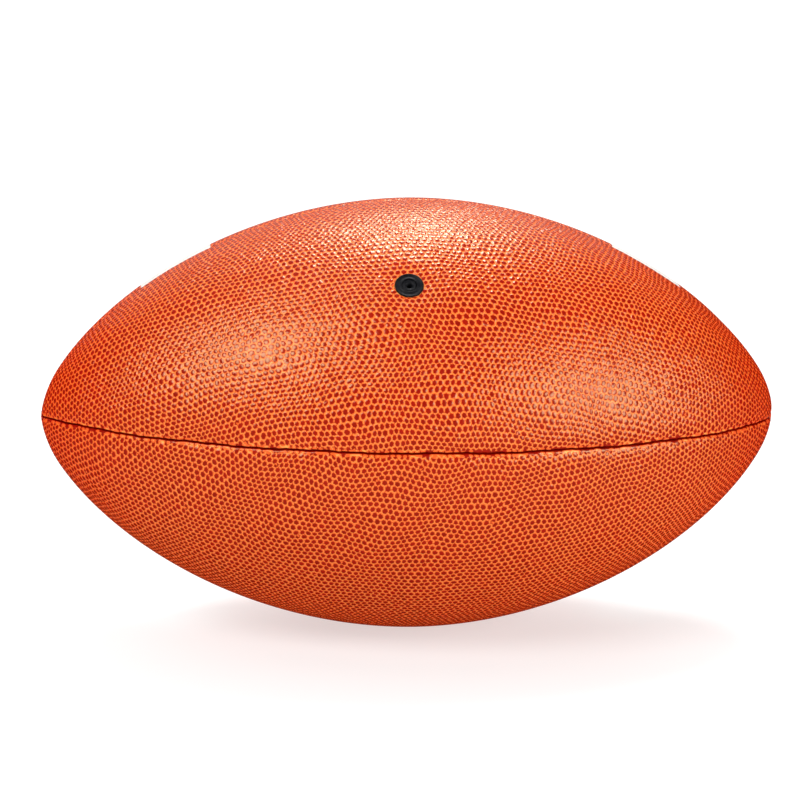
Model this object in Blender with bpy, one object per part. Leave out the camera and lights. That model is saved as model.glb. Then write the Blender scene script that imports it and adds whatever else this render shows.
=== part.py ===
"""American football: four sewn leather panels over cotton linings and an inflated bladder.

The long axis lies along X and Z is up. The four seams run at the back (+Y), the top, the front
and the bottom. The lace closes a slit in the back seam, and the valve sits in the upper front
panel. The ball lies on its bottom seam, with the origin under the middle of its box.
"""

import math

import bmesh
import bpy
from mathutils import Matrix, Vector

# Size and shape of the inflated ball, in metres
BALL_LENGTH = 0.290
BALL_DIAMETER = 0.1679
BELLY_POWER = 1.93
NOSE_POWER = 0.667
TIP_HOLE_RADIUS = 0.0012
BALL_RADIUS = BALL_DIAMETER / 2

# Thickness of each layer, from the outside in, and the gap kept between neighbours
LEATHER_THICKNESS = 0.0016
LINING_THICKNESS = 0.0010
BLADDER_THICKNESS = 0.0009
CLEARANCE = 0.0003

# Panel edges: they curl over, meet at the seam and are turned in
SEAM_GAP = 0.0003
TURN_IN_DEPTH = 0.0035
TURN_IN_LEAST = 0.0003
TURN_IN_STARTS_AT_RADIUS = 0.008
TURN_IN_FULL_AT_RADIUS = 0.022
EDGE_CURL_WIDTH = 0.0015
EDGE_CURL_DROP = 0.0007
THREAD_RADIUS = 0.00035
LINING_LEAST_RADIUS = 0.012

# Lace and the slit that it closes
LACE_CROSSES = 8
LACE_PITCH = 0.0136
LACE_WIDTH = 0.0068
LACE_THICKNESS = 0.0014
LACE_WIDTH_AT_BEND = 0.0058
LACE_WIDTH_IN_HOLE = 0.0036
LACE_BEND = 0.0014
LACE_HOLE_RADIUS = 0.0025
LACE_HOLE_FROM_SEAM = 0.009
LACE_END_HOLE_FROM_CROSS = 0.0095
SLIT_BEYOND_END_HOLE = 0.0065
FACING_THICKNESS = 0.0010
FACING_MARGIN = 0.0012
TONGUE_THICKNESS = 0.0010
TONGUE_MARGIN = 0.0007

# Valve
VALVE_FROM_MIDDLE = -0.0075
VALVE_HEAD_RADIUS = 0.0053
VALVE_RIM_WIDTH = 0.0009
VALVE_RIM_HEIGHT = 0.0003
VALVE_STEM_RADIUS = 0.0042
VALVE_FLANGE_RADIUS = 0.0072
VALVE_FLANGE_THICKNESS = 0.0010
VALVE_PATCH_RADIUS = 0.0078
VALVE_PATCH_THICKNESS = 0.0008
VALVE_CORE_RADIUS = 0.0027
VALVE_CORE_FOOT_RADIUS = 0.0038
VALVE_CORE_FOOT_THICKNESS = 0.0008
VALVE_CORE_RECESS = 0.0003
NEEDLE_HOLE_RADIUS = 0.0012
NEEDLE_HOLE_DEPTH = 0.0065

# How finely the curved surfaces are faceted
LENGTH_STEPS = 26
QUARTER_STEPS = 10
TURNED_SIDES = 16
HOLE_SIDES = 10
THREAD_SIDES = 5

# Angles round the long axis, measured from the back (+Y) up over the top
QUARTER = math.pi / 2
BACK_SEAM, TOP_SEAM, FRONT_SEAM, BOTTOM_SEAM = (turn * QUARTER for turn in range(4))
QUARTER_STEP = QUARTER / QUARTER_STEPS
SEAM_MARGIN_ANGLE = math.radians(4)
EDGE_ANGLE_LIMITS = [math.radians(angle) for angle in (18, 22, 26)]
FLANGE_ANGLE_LIMIT = math.radians(28)
INNER_EDGE_SHARE = 0.9
CURL_SAMPLES = (0.0, 0.35, 1.0)
EDGE_DROP_SHARE_AT_TIP = 0.15

# Depths below the ball's outer surface
LINING_DEPTH = LEATHER_THICKNESS + CLEARANCE
BLADDER_DEPTH = LINING_DEPTH + LINING_THICKNESS + CLEARANCE
FACING_DEPTH = BLADDER_DEPTH
LACE_RUN_DEPTH = max(
    LEATHER_THICKNESS + TURN_IN_DEPTH + CLEARANCE + LACE_THICKNESS / 2,
    FACING_DEPTH + FACING_THICKNESS + 2 * CLEARANCE + LACE_THICKNESS / 2,
)
TONGUE_DEPTH = LACE_RUN_DEPTH + LACE_THICKNESS / 2 + CLEARANCE
LACE_BED_DEPTH = TONGUE_DEPTH + TONGUE_THICKNESS + CLEARANCE

# Heights of the lace above the leather: the run along the slit, and the crosses over it
LACE_LOW = CLEARANCE + LACE_THICKNESS / 2
LACE_HIGH = LACE_LOW + LACE_THICKNESS + 2 * CLEARANCE

# How the lace lies: its width along the ball, or along its own way beside the seam
ACROSS, TURNING, ALONG = 0.0, 0.5, 1.0
LACE_SECTION = [(1, 0.45), (0.75, 1), (-0.75, 1), (-1, 0.45)]
LACE_SECTION += [(-wide, -thick) for wide, thick in LACE_SECTION]

# Lengths along the slit, from the middle of the ball
LAST_CROSS = (LACE_CROSSES - 1) / 2 * LACE_PITCH
END_HOLE = LAST_CROSS + LACE_END_HOLE_FROM_CROSS
SLIT_HALF_LENGTH = END_HOLE + SLIT_BEYOND_END_HOLE
BED_RUNOUT = 0.015

# How far the facings and the tongue reach from the seam's plane
FACING_REACH = LACE_HOLE_FROM_SEAM + LACE_HOLE_RADIUS + FACING_MARGIN
TONGUE_REACH = LACE_HOLE_FROM_SEAM + LACE_WIDTH_IN_HOLE / 2 + TONGUE_MARGIN

# Colours, roughness and metallic value of each material
MATERIALS = {
    "pebbled_leather": ((0.72, 0.17, 0.06), 0.42, 0.0),
    "cotton_lining": ((0.78, 0.73, 0.62), 0.95, 0.0),
    "butyl_rubber": ((0.03, 0.03, 0.03), 0.55, 0.0),
    "valve_rubber": ((0.015, 0.015, 0.015), 0.45, 0.0),
    "white_lace": ((0.88, 0.87, 0.84), 0.5, 0.0),
    "facing_leather": ((0.35, 0.16, 0.08), 0.7, 0.0),
    "waxed_thread": ((0.16, 0.05, 0.03), 0.6, 0.0),
}


def profile_radius(x):
    """Radius of the ball's outer surface at x along its axis."""
    share = min(abs(2 * x / BALL_LENGTH), 1.0)
    return BALL_RADIUS * (1 - share**BELLY_POWER) ** NOSE_POWER


def place_at_radius(radius):
    """Distance from the middle of the ball at which its outer surface has this radius."""
    share = 1 - (radius / BALL_RADIUS) ** (1 / NOSE_POWER)
    return BALL_LENGTH / 2 * share ** (1 / BELLY_POWER)


def profile_normal(x):
    """Outward normal of the outer surface at x, as its parts along the axis and away from it."""
    share = abs(2 * x / BALL_LENGTH)
    rest = 1 - share**BELLY_POWER
    fall = BELLY_POWER * share ** (BELLY_POWER - 1) * NOSE_POWER * rest ** (NOSE_POWER - 1)
    slope = -math.copysign(BALL_RADIUS * fall * 2 / BALL_LENGTH, x)
    size = math.hypot(slope, 1)
    return -slope / size, 1 / size


def layer_point(x, depth):
    """Place along the axis and radius of the point that lies a depth below the surface at x."""
    along, away = profile_normal(x)
    return x - along * depth, profile_radius(x) - away * depth


def chord_point(x, depth):
    """The same on the faceted ball, whose rings are joined by straight lines."""
    for low, high in zip(STATIONS, STATIONS[1:]):
        if low <= x <= high:
            share = (x - low) / (high - low)
            start, end = layer_point(low, depth), layer_point(high, depth)
            return tuple(a + (b - a) * share for a, b in zip(start, end))
    return layer_point(x, depth)


def turned(point, angle):
    """A point of the ball from its place along the axis, its radius and its angle."""
    x, radius = point
    return Vector((x, radius * math.cos(angle), radius * math.sin(angle)))


def angle_of(distance, radius, limit):
    """Angle at which a point at this radius is this distance from the seam's plane."""
    return math.asin(min(distance / radius, math.sin(limit)))


def length_stations():
    """Places of the rings along the axis, closer together towards the tips."""
    end = place_at_radius(TIP_HOLE_RADIUS)
    return [
        end * math.sin(math.pi * (step / LENGTH_STEPS - 0.5)) for step in range(LENGTH_STEPS + 1)
    ]


STATIONS = length_stations()


def stretch(start, end):
    """Places of the rings of a piece that runs from one place along the axis to another."""
    return [start, *(x for x in STATIONS if start + CLEARANCE < x < end - CLEARANCE), end]


def turn_in(x):
    """Depth of the turned-in edge below the leather at x. It fades out at the tips."""
    span = TURN_IN_FULL_AT_RADIUS - TURN_IN_STARTS_AT_RADIUS
    share = (profile_radius(x) - TURN_IN_STARTS_AT_RADIUS) / span
    return TURN_IN_LEAST + (TURN_IN_DEPTH - TURN_IN_LEAST) * min(max(share, 0.0), 1.0)


def curled_edge(x):
    """Depth and angle from the seam of the points where a panel's outer face curls over."""
    radius = profile_radius(x)
    drop = min(EDGE_CURL_DROP, EDGE_DROP_SHARE_AT_TIP * radius)
    points = []
    for share, limit in zip(CURL_SAMPLES, EDGE_ANGLE_LIMITS):
        depth = drop * (1 - math.sqrt(1 - (1 - share) ** 2))
        distance = SEAM_GAP / 2 + share * EDGE_CURL_WIDTH
        points.append((depth, angle_of(distance, radius, limit)))
    return points


def middle_angles(x):
    """Angles from the seam of the points between a panel's edges, the same for every layer."""
    half = QUARTER_STEPS / 2
    room = QUARTER / 2 - curled_edge(x)[-1][1] - SEAM_MARGIN_ANGLE
    step_angle = min(QUARTER_STEP, room / (half - 1))
    return [QUARTER / 2 + (step - half) * step_angle for step in range(1, QUARTER_STEPS)]


def seam_offset(x, point, distance):
    """Angle from the seam of a point of the ring at x, kept at a distance from the seam's plane."""
    widest = min(FLANGE_ANGLE_LIMIT, INNER_EDGE_SHARE * middle_angles(x)[0])
    return angle_of(distance, point[1], widest)


def panel_ring(x, start):
    """One ring of a panel: its outer face, the turned-in edges and its inner face."""
    edge = curled_edge(x)
    middles = middle_angles(x)
    inside = layer_point(x, LEATHER_THICKNESS)
    foot = layer_point(x, LEATHER_THICKNESS + turn_in(x))
    near = angle_of(SEAM_GAP / 2, foot[1], EDGE_ANGLE_LIMITS[0])
    far = seam_offset(x, foot, SEAM_GAP / 2 + LEATHER_THICKNESS)
    corner = seam_offset(x, inside, SEAM_GAP / 2 + LEATHER_THICKNESS)
    end = start + QUARTER
    ring = [turned(layer_point(x, depth), start + angle) for depth, angle in edge]
    ring += [turned(layer_point(x, 0.0), start + angle) for angle in middles]
    ring += [turned(layer_point(x, depth), end - angle) for depth, angle in reversed(edge)]
    ring += [turned(foot, end - near), turned(foot, end - far), turned(inside, end - corner)]
    ring += [turned(inside, start + angle) for angle in reversed(middles)]
    ring += [turned(inside, start + corner), turned(foot, start + far), turned(foot, start + near)]
    return ring


def layer_ring(x, start, depth, thickness, edge_distance):
    """One ring of a plain layer that lies between a panel's turned-in edges."""
    ring = []
    for level, forwards in ((depth, True), (depth + thickness, False)):
        point = layer_point(x, level)
        edge = seam_offset(x, point, edge_distance)
        angles = [edge, *middle_angles(x), QUARTER - edge]
        ordered = angles if forwards else reversed(angles)
        ring += [turned(point, start + angle) for angle in ordered]
    return ring


def bed_share(x):
    """How far the bladder is pushed in under the lace at x: 1 beside the slit, 0 well past it."""
    widest_step = max(high - low for low, high in zip(STATIONS, STATIONS[1:]))
    past = abs(x) - SLIT_HALF_LENGTH - widest_step
    return 1 - min(max(past / BED_RUNOUT, 0.0), 1.0)


def places_in_bed(x, angles):
    """How many of the bladder's points, counted from the back seam, lie in its bed for the lace.

    The first point past the tongue's edge is the last of them.
    """
    radius = layer_point(x, TONGUE_DEPTH)[1]
    return 1 + sum(radius * math.sin(angle) < TONGUE_REACH for angle in angles[: QUARTER_STEPS // 2])


def bladder_ring(x, extra_depth):
    """One ring of the bladder: against the linings, drawn in at the seams and under the lace."""
    ring = []
    share = bed_share(x)
    seam_depth = max(LEATHER_THICKNESS + turn_in(x) + CLEARANCE, BLADDER_DEPTH)
    groove_point = layer_point(x, seam_depth + extra_depth)
    groove = seam_offset(x, groove_point, SEAM_GAP / 2 + LEATHER_THICKNESS + CLEARANCE)
    angles = [groove, *middle_angles(x), QUARTER - groove]
    bed_places = places_in_bed(x, angles)
    for start in (BACK_SEAM, TOP_SEAM, FRONT_SEAM, BOTTOM_SEAM):
        for place, angle in enumerate(angles):
            at_seam = place in (0, len(angles) - 1)
            depth = seam_depth if at_seam else BLADDER_DEPTH
            above_slit = start == BACK_SEAM and place < bed_places
            below_slit = start == BOTTOM_SEAM and place >= len(angles) - bed_places
            if above_slit or below_slit:
                depth += share * (LACE_BED_DEPTH - depth)
            ring.append(turned(layer_point(x, depth + extra_depth), start + angle))
    return ring


def ball_centre():
    """Place of the ball's centre. The seam below touches Z = 0, and the box is centred on Y = 0."""
    seam_reach = math.sqrt(BALL_RADIUS**2 - (SEAM_GAP / 2 + EDGE_CURL_WIDTH) ** 2)
    nearest_cross = min(abs(x) for x in cross_places())
    lace_reach = profile_radius(nearest_cross) + LACE_HIGH + LACE_THICKNESS / 2
    return 0.0, (seam_reach - lace_reach) / 2, seam_reach


def empty_at(name, location):
    """An empty that carries other objects."""
    holder = bpy.data.objects.new(name, None)
    holder.location = location
    bpy.context.scene.collection.objects.link(holder)
    return holder


def material(name):
    """The named material, made when it is first asked for."""
    found = bpy.data.materials.get(name)
    if found:
        return found
    colour, roughness, metallic = MATERIALS[name]
    made = bpy.data.materials.new(name)
    made.use_nodes = True
    made.diffuse_color = (*colour, 1.0)
    shader = made.node_tree.nodes["Principled BSDF"]
    shader.inputs["Base Color"].default_value = (*colour, 1.0)
    shader.inputs["Roughness"].default_value = roughness
    shader.inputs["Metallic"].default_value = metallic
    return made


def finish_object(name, shape, material_name, holder, sharp_angle=35):
    """Makes a named, shaded object of a bmesh and hangs it on its holder."""
    mesh = bpy.data.meshes.new(name)
    shape.to_mesh(mesh)
    shape.free()
    mesh.shade_smooth()
    mesh.set_sharp_from_angle(angle=math.radians(sharp_angle))
    piece = bpy.data.objects.new(name, mesh)
    bpy.context.scene.collection.objects.link(piece)
    piece.parent = holder
    if material_name:
        mesh.materials.append(material(material_name))
    return piece


def loft(shape, rings, ends="capped", poles=None):
    """Joins rings of points by faces and closes the ends with flat caps or with poles."""
    rows = [[shape.verts.new(point) for point in ring] for ring in rings]
    count = len(rows[0])
    for low, high in zip(rows, rows[1:]):
        for here in range(count):
            after = (here + 1) % count
            shape.faces.new((low[here], low[after], high[after], high[here]))
    if ends == "capped":
        shape.faces.new(rows[0])
        shape.faces.new(reversed(rows[-1]))
        return
    for row, place in zip((rows[0], rows[-1]), poles):
        pole = shape.verts.new(place)
        for here in range(count):
            shape.faces.new((row[here], row[(here + 1) % count], pole))


def face_outwards(shape):
    """Points all faces outwards."""
    bmesh.ops.recalc_face_normals(shape, faces=shape.faces)


def lofted_object(name, rings, material_name, holder):
    """One closed body through the given rings."""
    shape = bmesh.new()
    loft(shape, rings)
    face_outwards(shape)
    return finish_object(name, shape, material_name, holder)


def cylinder_cutter(name, places, radius, holder):
    """Cutters for round holes. Each place is a pair of points on the hole's axis."""
    shape = bmesh.new()
    for start, end in places:
        axis = end - start
        turn = axis.to_track_quat("Z", "Y").to_matrix().to_4x4()
        matrix = Matrix.Translation((start + end) / 2) @ turn
        bmesh.ops.create_cone(
            shape,
            cap_ends=True,
            segments=HOLE_SIDES,
            radius1=radius,
            radius2=radius,
            depth=axis.length,
            matrix=matrix,
        )
    face_outwards(shape)
    cutter = finish_object(name, shape, None, holder)
    cutter.display_type = "WIRE"
    cutter.hide_render = True
    return cutter


def cut(piece, cutter):
    """Cuts the cutter's shape out of the piece."""
    boolean = piece.modifiers.new(cutter.name, "BOOLEAN")
    boolean.operation = "DIFFERENCE"
    boolean.solver = "EXACT"
    boolean.object = cutter


def make_panel(name, start, holder):
    """A leather panel from one seam to the next."""
    rings = [panel_ring(x, start) for x in STATIONS]
    return lofted_object(name, rings, "pebbled_leather", holder)


def make_lining(name, start, holder):
    """The cotton lining that lies on the inner face of a panel, between its turned-in edges."""
    edge = SEAM_GAP / 2 + LEATHER_THICKNESS + CLEARANCE
    places = stretch(-place_at_radius(LINING_LEAST_RADIUS), place_at_radius(LINING_LEAST_RADIUS))
    rings = [layer_ring(x, start, LINING_DEPTH, LINING_THICKNESS, edge) for x in places]
    return lofted_object(name, rings, "cotton_lining", holder)


def make_bladder(holder):
    """The inflated bladder: an outer and an inner skin, joined later by the valve's hole."""
    shape = bmesh.new()
    middle = STATIONS[1:-1]
    tip = BALL_LENGTH / 2
    for inner in (False, True):
        extra = BLADDER_THICKNESS if inner else 0.0
        reach = tip - BLADDER_DEPTH - extra
        skin = bmesh.new()
        rings = [bladder_ring(x, extra) for x in middle]
        loft(skin, rings, "poles", (Vector((-reach, 0, 0)), Vector((reach, 0, 0))))
        face_outwards(skin)
        if inner:
            bmesh.ops.reverse_faces(skin, faces=skin.faces)
        part = bpy.data.meshes.new("bladder_skin")
        skin.to_mesh(part)
        skin.free()
        shape.from_mesh(part)
        bpy.data.meshes.remove(part)
    return finish_object("bladder", shape, "butyl_rubber", holder)


def make_thread(name, xs, seam, side, holder):
    """One thread of a seam's lockstitch, along the outside of a turned-in edge."""
    distance = SEAM_GAP / 2 + LEATHER_THICKNESS + CLEARANCE + THREAD_RADIUS
    depth = BLADDER_DEPTH + THREAD_RADIUS
    rings = []
    for x in xs:
        ring = []
        for step in range(THREAD_SIDES):
            angle = 2 * math.pi * step / THREAD_SIDES
            point = chord_point(x, depth + THREAD_RADIUS * math.cos(angle))
            away = seam_offset(x, point, distance + THREAD_RADIUS * math.sin(angle))
            ring.append(turned(point, seam + side * away))
        rings.append(ring)
    return lofted_object(name, rings, "waxed_thread", holder)


def thread_stretches(seam):
    """Places along a seam where it is sewn. The back seam is left open at the slit."""
    end = place_at_radius(TURN_IN_FULL_AT_RADIUS)
    if seam != BACK_SEAM:
        return {"": stretch(-end, end)}
    slit_end = SLIT_HALF_LENGTH + 2 * CLEARANCE
    return {"_left": stretch(-end, -slit_end), "_right": stretch(slit_end, end)}


def make_seam_threads(name, seam, holder):
    """The needle thread and the bobbin thread of one seam, on either side of its turned-in edges."""
    for end, xs in thread_stretches(seam).items():
        make_thread(f"needle_thread_{name}{end}", xs, seam, 1, holder)
        make_thread(f"bobbin_thread_{name}{end}", xs, seam, -1, holder)


def make_facing(name, side, holder):
    """The leather strip that backs the lace holes on one side of the slit."""
    edge_distance = SEAM_GAP / 2 + LEATHER_THICKNESS + CLEARANCE
    rings = []
    for x in stretch(CLEARANCE - SLIT_HALF_LENGTH, SLIT_HALF_LENGTH - CLEARANCE):
        outer = chord_point(x, FACING_DEPTH)
        inner = chord_point(x, FACING_DEPTH + FACING_THICKNESS)
        near = [seam_offset(x, point, edge_distance) for point in (outer, inner)]
        far = [angle_of(FACING_REACH, point[1], QUARTER / 2) for point in (outer, inner)]
        angles = (near[0], far[0], far[1], near[1])
        points = (outer, outer, inner, inner)
        rings.append([turned(p, BACK_SEAM + side * a) for p, a in zip(points, angles)])
    return lofted_object(name, rings, "facing_leather", holder)


def make_tongue(holder):
    """The flap that keeps the lace off the bladder."""
    rings = []
    for x in stretch(CLEARANCE - SLIT_HALF_LENGTH, SLIT_HALF_LENGTH - CLEARANCE):
        outer = chord_point(x, TONGUE_DEPTH)
        inner = chord_point(x, TONGUE_DEPTH + TONGUE_THICKNESS)
        ring = []
        for point, sides in ((outer, (-1, 0, 1)), (inner, (1, 0, -1))):
            far = angle_of(TONGUE_REACH, point[1], QUARTER / 2)
            ring += [turned(point, BACK_SEAM + side * far) for side in sides]
        rings.append(ring)
    return lofted_object("lace_tongue", rings, "facing_leather", holder)


def cross_places():
    """Places along the slit where the lace crosses it."""
    return [LAST_CROSS - cross * LACE_PITCH for cross in range(LACE_CROSSES)]


def slit_point(x, distance, height):
    """A point beside the slit, from its distance to the seam's plane and its height."""
    place = layer_point(x, -height)
    return turned(place, BACK_SEAM + math.asin(distance / place[1]))


def lace_route():
    """The lace's points, each with its width and how far it is turned to lie along the seam.

    It comes up through the hole at one end of the slit, runs along the slit to the other end and
    goes down there. Then it climbs through a hole, crosses over, goes down and runs inside to the
    next hole of the same side, and so on to its end inside the last pair of holes.
    """
    narrow, wide, bend = LACE_WIDTH_IN_HOLE, LACE_WIDTH, LACE_BEND
    hole, deep, low, high = LACE_HOLE_FROM_SEAM, -LACE_RUN_DEPTH, LACE_LOW, LACE_HIGH
    shallow = -LEATHER_THICKNESS
    crosses = cross_places()
    half_pitch = LACE_PITCH / 2
    route = [
        (half_pitch - END_HOLE, 0.0, deep, narrow, ALONG),
        (bend - END_HOLE, 0.0, deep, narrow, ALONG),
        (-END_HOLE, 0.0, deep + bend, narrow, ALONG),
        (-END_HOLE, 0.0, shallow, narrow, ALONG),
        (bend - END_HOLE, 0.0, low, narrow, ALONG),
        (3 * bend - END_HOLE, 0.0, low, wide, ALONG),
    ]
    route += [(x, 0.0, low, wide, ALONG) for x in reversed(crosses)]
    route += [
        (END_HOLE - 3 * bend, 0.0, low, wide, ALONG),
        (END_HOLE - bend, 0.0, low, narrow, ALONG),
        (END_HOLE, 0.0, shallow, narrow, ALONG),
        (END_HOLE, 0.0, deep + bend, narrow, ALONG),
        (END_HOLE - bend, bend, deep, narrow, ALONG),
        (LAST_CROSS + 2 * bend, hole - bend, deep, narrow, ALONG),
        (LAST_CROSS + bend, hole, deep, narrow, ALONG),
    ]
    climb = [
        (hole, deep + bend, narrow, TURNING),
        (hole, shallow, narrow, ACROSS),
        (hole, low / 2, narrow, ACROSS),
        (hole - bend, low + bend / 4, LACE_WIDTH_AT_BEND, ACROSS),
        (hole / 2, high - bend / 4, wide, ACROSS),
    ]
    for number, x in enumerate(crosses):
        side = 1 if number % 2 == 0 else -1
        route += [(x, side * distance, *rest) for distance, *rest in climb]
        route.append((x, 0.0, high, wide, ACROSS))
        route += [(x, -side * distance, *rest) for distance, *rest in reversed(climb)]
        route.append((x - bend, -side * hole, deep, narrow, ALONG))
        route.append((x - half_pitch, -side * hole, deep, narrow, ALONG))
        if number < LACE_CROSSES - 1:
            route.append((x - LACE_PITCH + bend, -side * hole, deep, narrow, ALONG))
    return route


def make_lace(holder):
    """The lace: one flat cord swept along its whole route."""
    route = lace_route()
    points = [slit_point(x, distance, height) for x, distance, height, _, _ in route]
    rings = []
    last_wide = Vector()
    for place, (point, (_, _, _, width, turn)) in enumerate(zip(points, route)):
        before, after = points[max(place - 1, 0)], points[min(place + 1, len(points) - 1)]
        ahead = (after - before).normalized()
        outward = Vector((0, point.y, point.z)).normalized()
        lengthwise = Vector((1, 0, 0))
        wanted = lengthwise.lerp(outward.cross(lengthwise), turn)
        wide = (wanted - wanted.dot(ahead) * ahead).normalized()
        if wide.dot(last_wide) < 0:
            wide = -wide
        last_wide = wide
        across, through = wide * width / 2, ahead.cross(wide) * LACE_THICKNESS / 2
        rings.append([point + across * a + through * b for a, b in LACE_SECTION])
    return lofted_object("lace", rings, "white_lace", holder)


def lace_hole_axes(side):
    """The two ends of each lace hole's axis on one side of the slit."""
    return [hole_axis(x, side * LACE_HOLE_FROM_SEAM) for x in cross_places()]


def hole_axis(x, distance):
    """The two ends of a hole's axis beside the slit, above the leather and below the facing."""
    return [slit_point(x, distance, height) for height in (LACE_THICKNESS, -LACE_RUN_DEPTH)]


def turned_object(name, outline, material_name, holder, matrix):
    """A turned piece from the closed outline of its section, in radius and height."""
    shape = bmesh.new()
    turns = [2 * math.pi * side / TURNED_SIDES for side in range(TURNED_SIDES)]
    rows = []
    for radius, height in outline:
        places = turns if radius else [0.0]
        points = [(radius * math.cos(a), radius * math.sin(a), height) for a in places]
        rows.append([shape.verts.new(point) for point in points])
    closes = len(rows[0]) > 1
    for low, high in zip(rows, rows[1:] + rows[:1] if closes else rows[1:]):
        for here in range(TURNED_SIDES):
            after = (here + 1) % TURNED_SIDES
            corners = [low[here % len(low)], low[after % len(low)]]
            corners += [high[after % len(high)], high[here % len(high)]]
            shape.faces.new(list(dict.fromkeys(corners)))
    face_outwards(shape)
    piece = finish_object(name, shape, material_name, holder)
    piece.matrix_local = matrix
    return piece


def valve_matrix():
    """Place of the valve: Z points out of the ball from the leather's outer face."""
    angle = TOP_SEAM + QUARTER / 2
    along, away = profile_normal(VALVE_FROM_MIDDLE)
    out = Vector((along, away * math.cos(angle), away * math.sin(angle)))
    side = out.cross(Vector((1, 0, 0))).normalized()
    forward = side.cross(out)
    turn = Matrix((forward, side, out)).transposed().to_4x4()
    place = turned(layer_point(VALVE_FROM_MIDDLE, 0.0), angle)
    return Matrix.Translation(place) @ turn


def surface_fall(radius):
    """How far the faceted wall falls below its top at this distance from the valve's middle."""
    step_width = 2 * BALL_RADIUS * math.sin(QUARTER_STEP / 2)
    return radius / step_width * BALL_RADIUS * (1 - math.cos(QUARTER_STEP))


def make_valve(holder):
    """The valve's housing, its plug and the patch that holds the bladder to it."""
    matrix = valve_matrix()
    patch_top = -(BLADDER_DEPTH + BLADDER_THICKNESS + surface_fall(VALVE_PATCH_RADIUS) + CLEARANCE)
    flange_top = patch_top - VALVE_PATCH_THICKNESS - CLEARANCE
    flange_foot = flange_top - VALVE_FLANGE_THICKNESS
    foot_top = flange_foot - CLEARANCE
    bore = VALVE_CORE_RADIUS + CLEARANCE
    rim = VALVE_HEAD_RADIUS - VALVE_RIM_WIDTH
    housing = [
        (bore, -VALVE_RIM_HEIGHT),
        (rim, -VALVE_RIM_HEIGHT),
        (rim + VALVE_RIM_HEIGHT, 0.0),
        (VALVE_HEAD_RADIUS, -VALVE_RIM_HEIGHT),
        (VALVE_HEAD_RADIUS, -LEATHER_THICKNESS),
        (VALVE_STEM_RADIUS, -LEATHER_THICKNESS),
        (VALVE_STEM_RADIUS, flange_top),
        (VALVE_FLANGE_RADIUS, flange_top),
        (VALVE_FLANGE_RADIUS, flange_foot),
        (bore, flange_foot),
    ]
    patch = [
        (VALVE_STEM_RADIUS + CLEARANCE, patch_top),
        (VALVE_PATCH_RADIUS, patch_top),
        (VALVE_PATCH_RADIUS, patch_top - VALVE_PATCH_THICKNESS),
        (VALVE_STEM_RADIUS + CLEARANCE, patch_top - VALVE_PATCH_THICKNESS),
    ]
    core_foot = foot_top - VALVE_CORE_FOOT_THICKNESS
    core_top = -VALVE_CORE_RECESS
    needle_foot = core_top - NEEDLE_HOLE_DEPTH
    core = [
        (0.0, needle_foot),
        (NEEDLE_HOLE_RADIUS, needle_foot),
        (NEEDLE_HOLE_RADIUS, core_top),
        (VALVE_CORE_RADIUS, core_top),
        (VALVE_CORE_RADIUS, foot_top),
        (VALVE_CORE_FOOT_RADIUS, foot_top),
        (VALVE_CORE_FOOT_RADIUS, core_foot),
        (0.0, core_foot),
    ]
    turned_object("valve_housing", housing, "valve_rubber", holder, matrix)
    turned_object("valve_patch", patch, "butyl_rubber", holder, matrix)
    turned_object("valve_core", core, "valve_rubber", holder, matrix)
    return matrix


def valve_cutter(name, radius, foot, matrix, holder):
    """A round cutter on the valve's axis, from above the leather down to its foot."""
    places = [(matrix @ Vector((0, 0, LEATHER_THICKNESS)), matrix @ Vector((0, 0, foot)))]
    return cylinder_cutter(name, places, radius, holder)


def make_ball():
    """Builds the whole ball round an empty at its centre."""
    centre = empty_at("ball_centre", ball_centre())
    starts = {
        "back_upper": BACK_SEAM,
        "front_upper": TOP_SEAM,
        "front_lower": FRONT_SEAM,
        "back_lower": BOTTOM_SEAM,
    }
    panels = {name: make_panel(f"panel_{name}", start, centre) for name, start in starts.items()}
    linings = {name: make_lining(f"lining_{name}", start, centre) for name, start in starts.items()}
    bladder = make_bladder(centre)
    seams = {"top": TOP_SEAM, "front": FRONT_SEAM, "bottom": BOTTOM_SEAM, "back": BACK_SEAM}
    for name, seam in seams.items():
        make_seam_threads(name, seam, centre)

    end_axes = [hole_axis(x, 0.0) for x in (-END_HOLE, END_HOLE)]
    end_holes = cylinder_cutter("end_hole_cutter", end_axes, LACE_HOLE_RADIUS, centre)
    for name, side in (("upper", 1), ("lower", -1)):
        facing = make_facing(f"lace_facing_{name}", side, centre)
        axes = lace_hole_axes(side)
        holes = cylinder_cutter(f"lace_hole_cutter_{name}", axes, LACE_HOLE_RADIUS, centre)
        for piece in (panels[f"back_{name}"], linings[f"back_{name}"], facing):
            cut(piece, holes)
            cut(piece, end_holes)
    make_tongue(centre)
    make_lace(centre)

    matrix = make_valve(centre)
    inside = -(BLADDER_DEPTH + BLADDER_THICKNESS + surface_fall(VALVE_PATCH_RADIUS))
    head_hole = VALVE_HEAD_RADIUS + CLEARANCE
    stem_hole = VALVE_STEM_RADIUS + CLEARANCE
    head_cutter = valve_cutter("valve_head_cutter", head_hole, inside, matrix, centre)
    stem_cutter = valve_cutter("valve_stem_cutter", stem_hole, inside, matrix, centre)
    cut(panels["front_upper"], head_cutter)
    cut(linings["front_upper"], stem_cutter)
    cut(bladder, stem_cutter)


for old in list(bpy.data.objects):
    bpy.data.objects.remove(old, do_unlink=True)
make_ball()
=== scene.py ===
"""American football, dressed: pebbled leather panels, rubber valve and white lace round the frame.

The ball's long axis lies along X and Z is up. Angles round that axis are counted from the back
(+Y) up over the top. Lengths are in metres.
"""

import logging
import math
from collections.abc import Iterable, Sequence
from dataclasses import dataclass, field
from enum import Enum

import bpy
import numpy as np
from mathutils import Matrix, Vector, geometry


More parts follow.
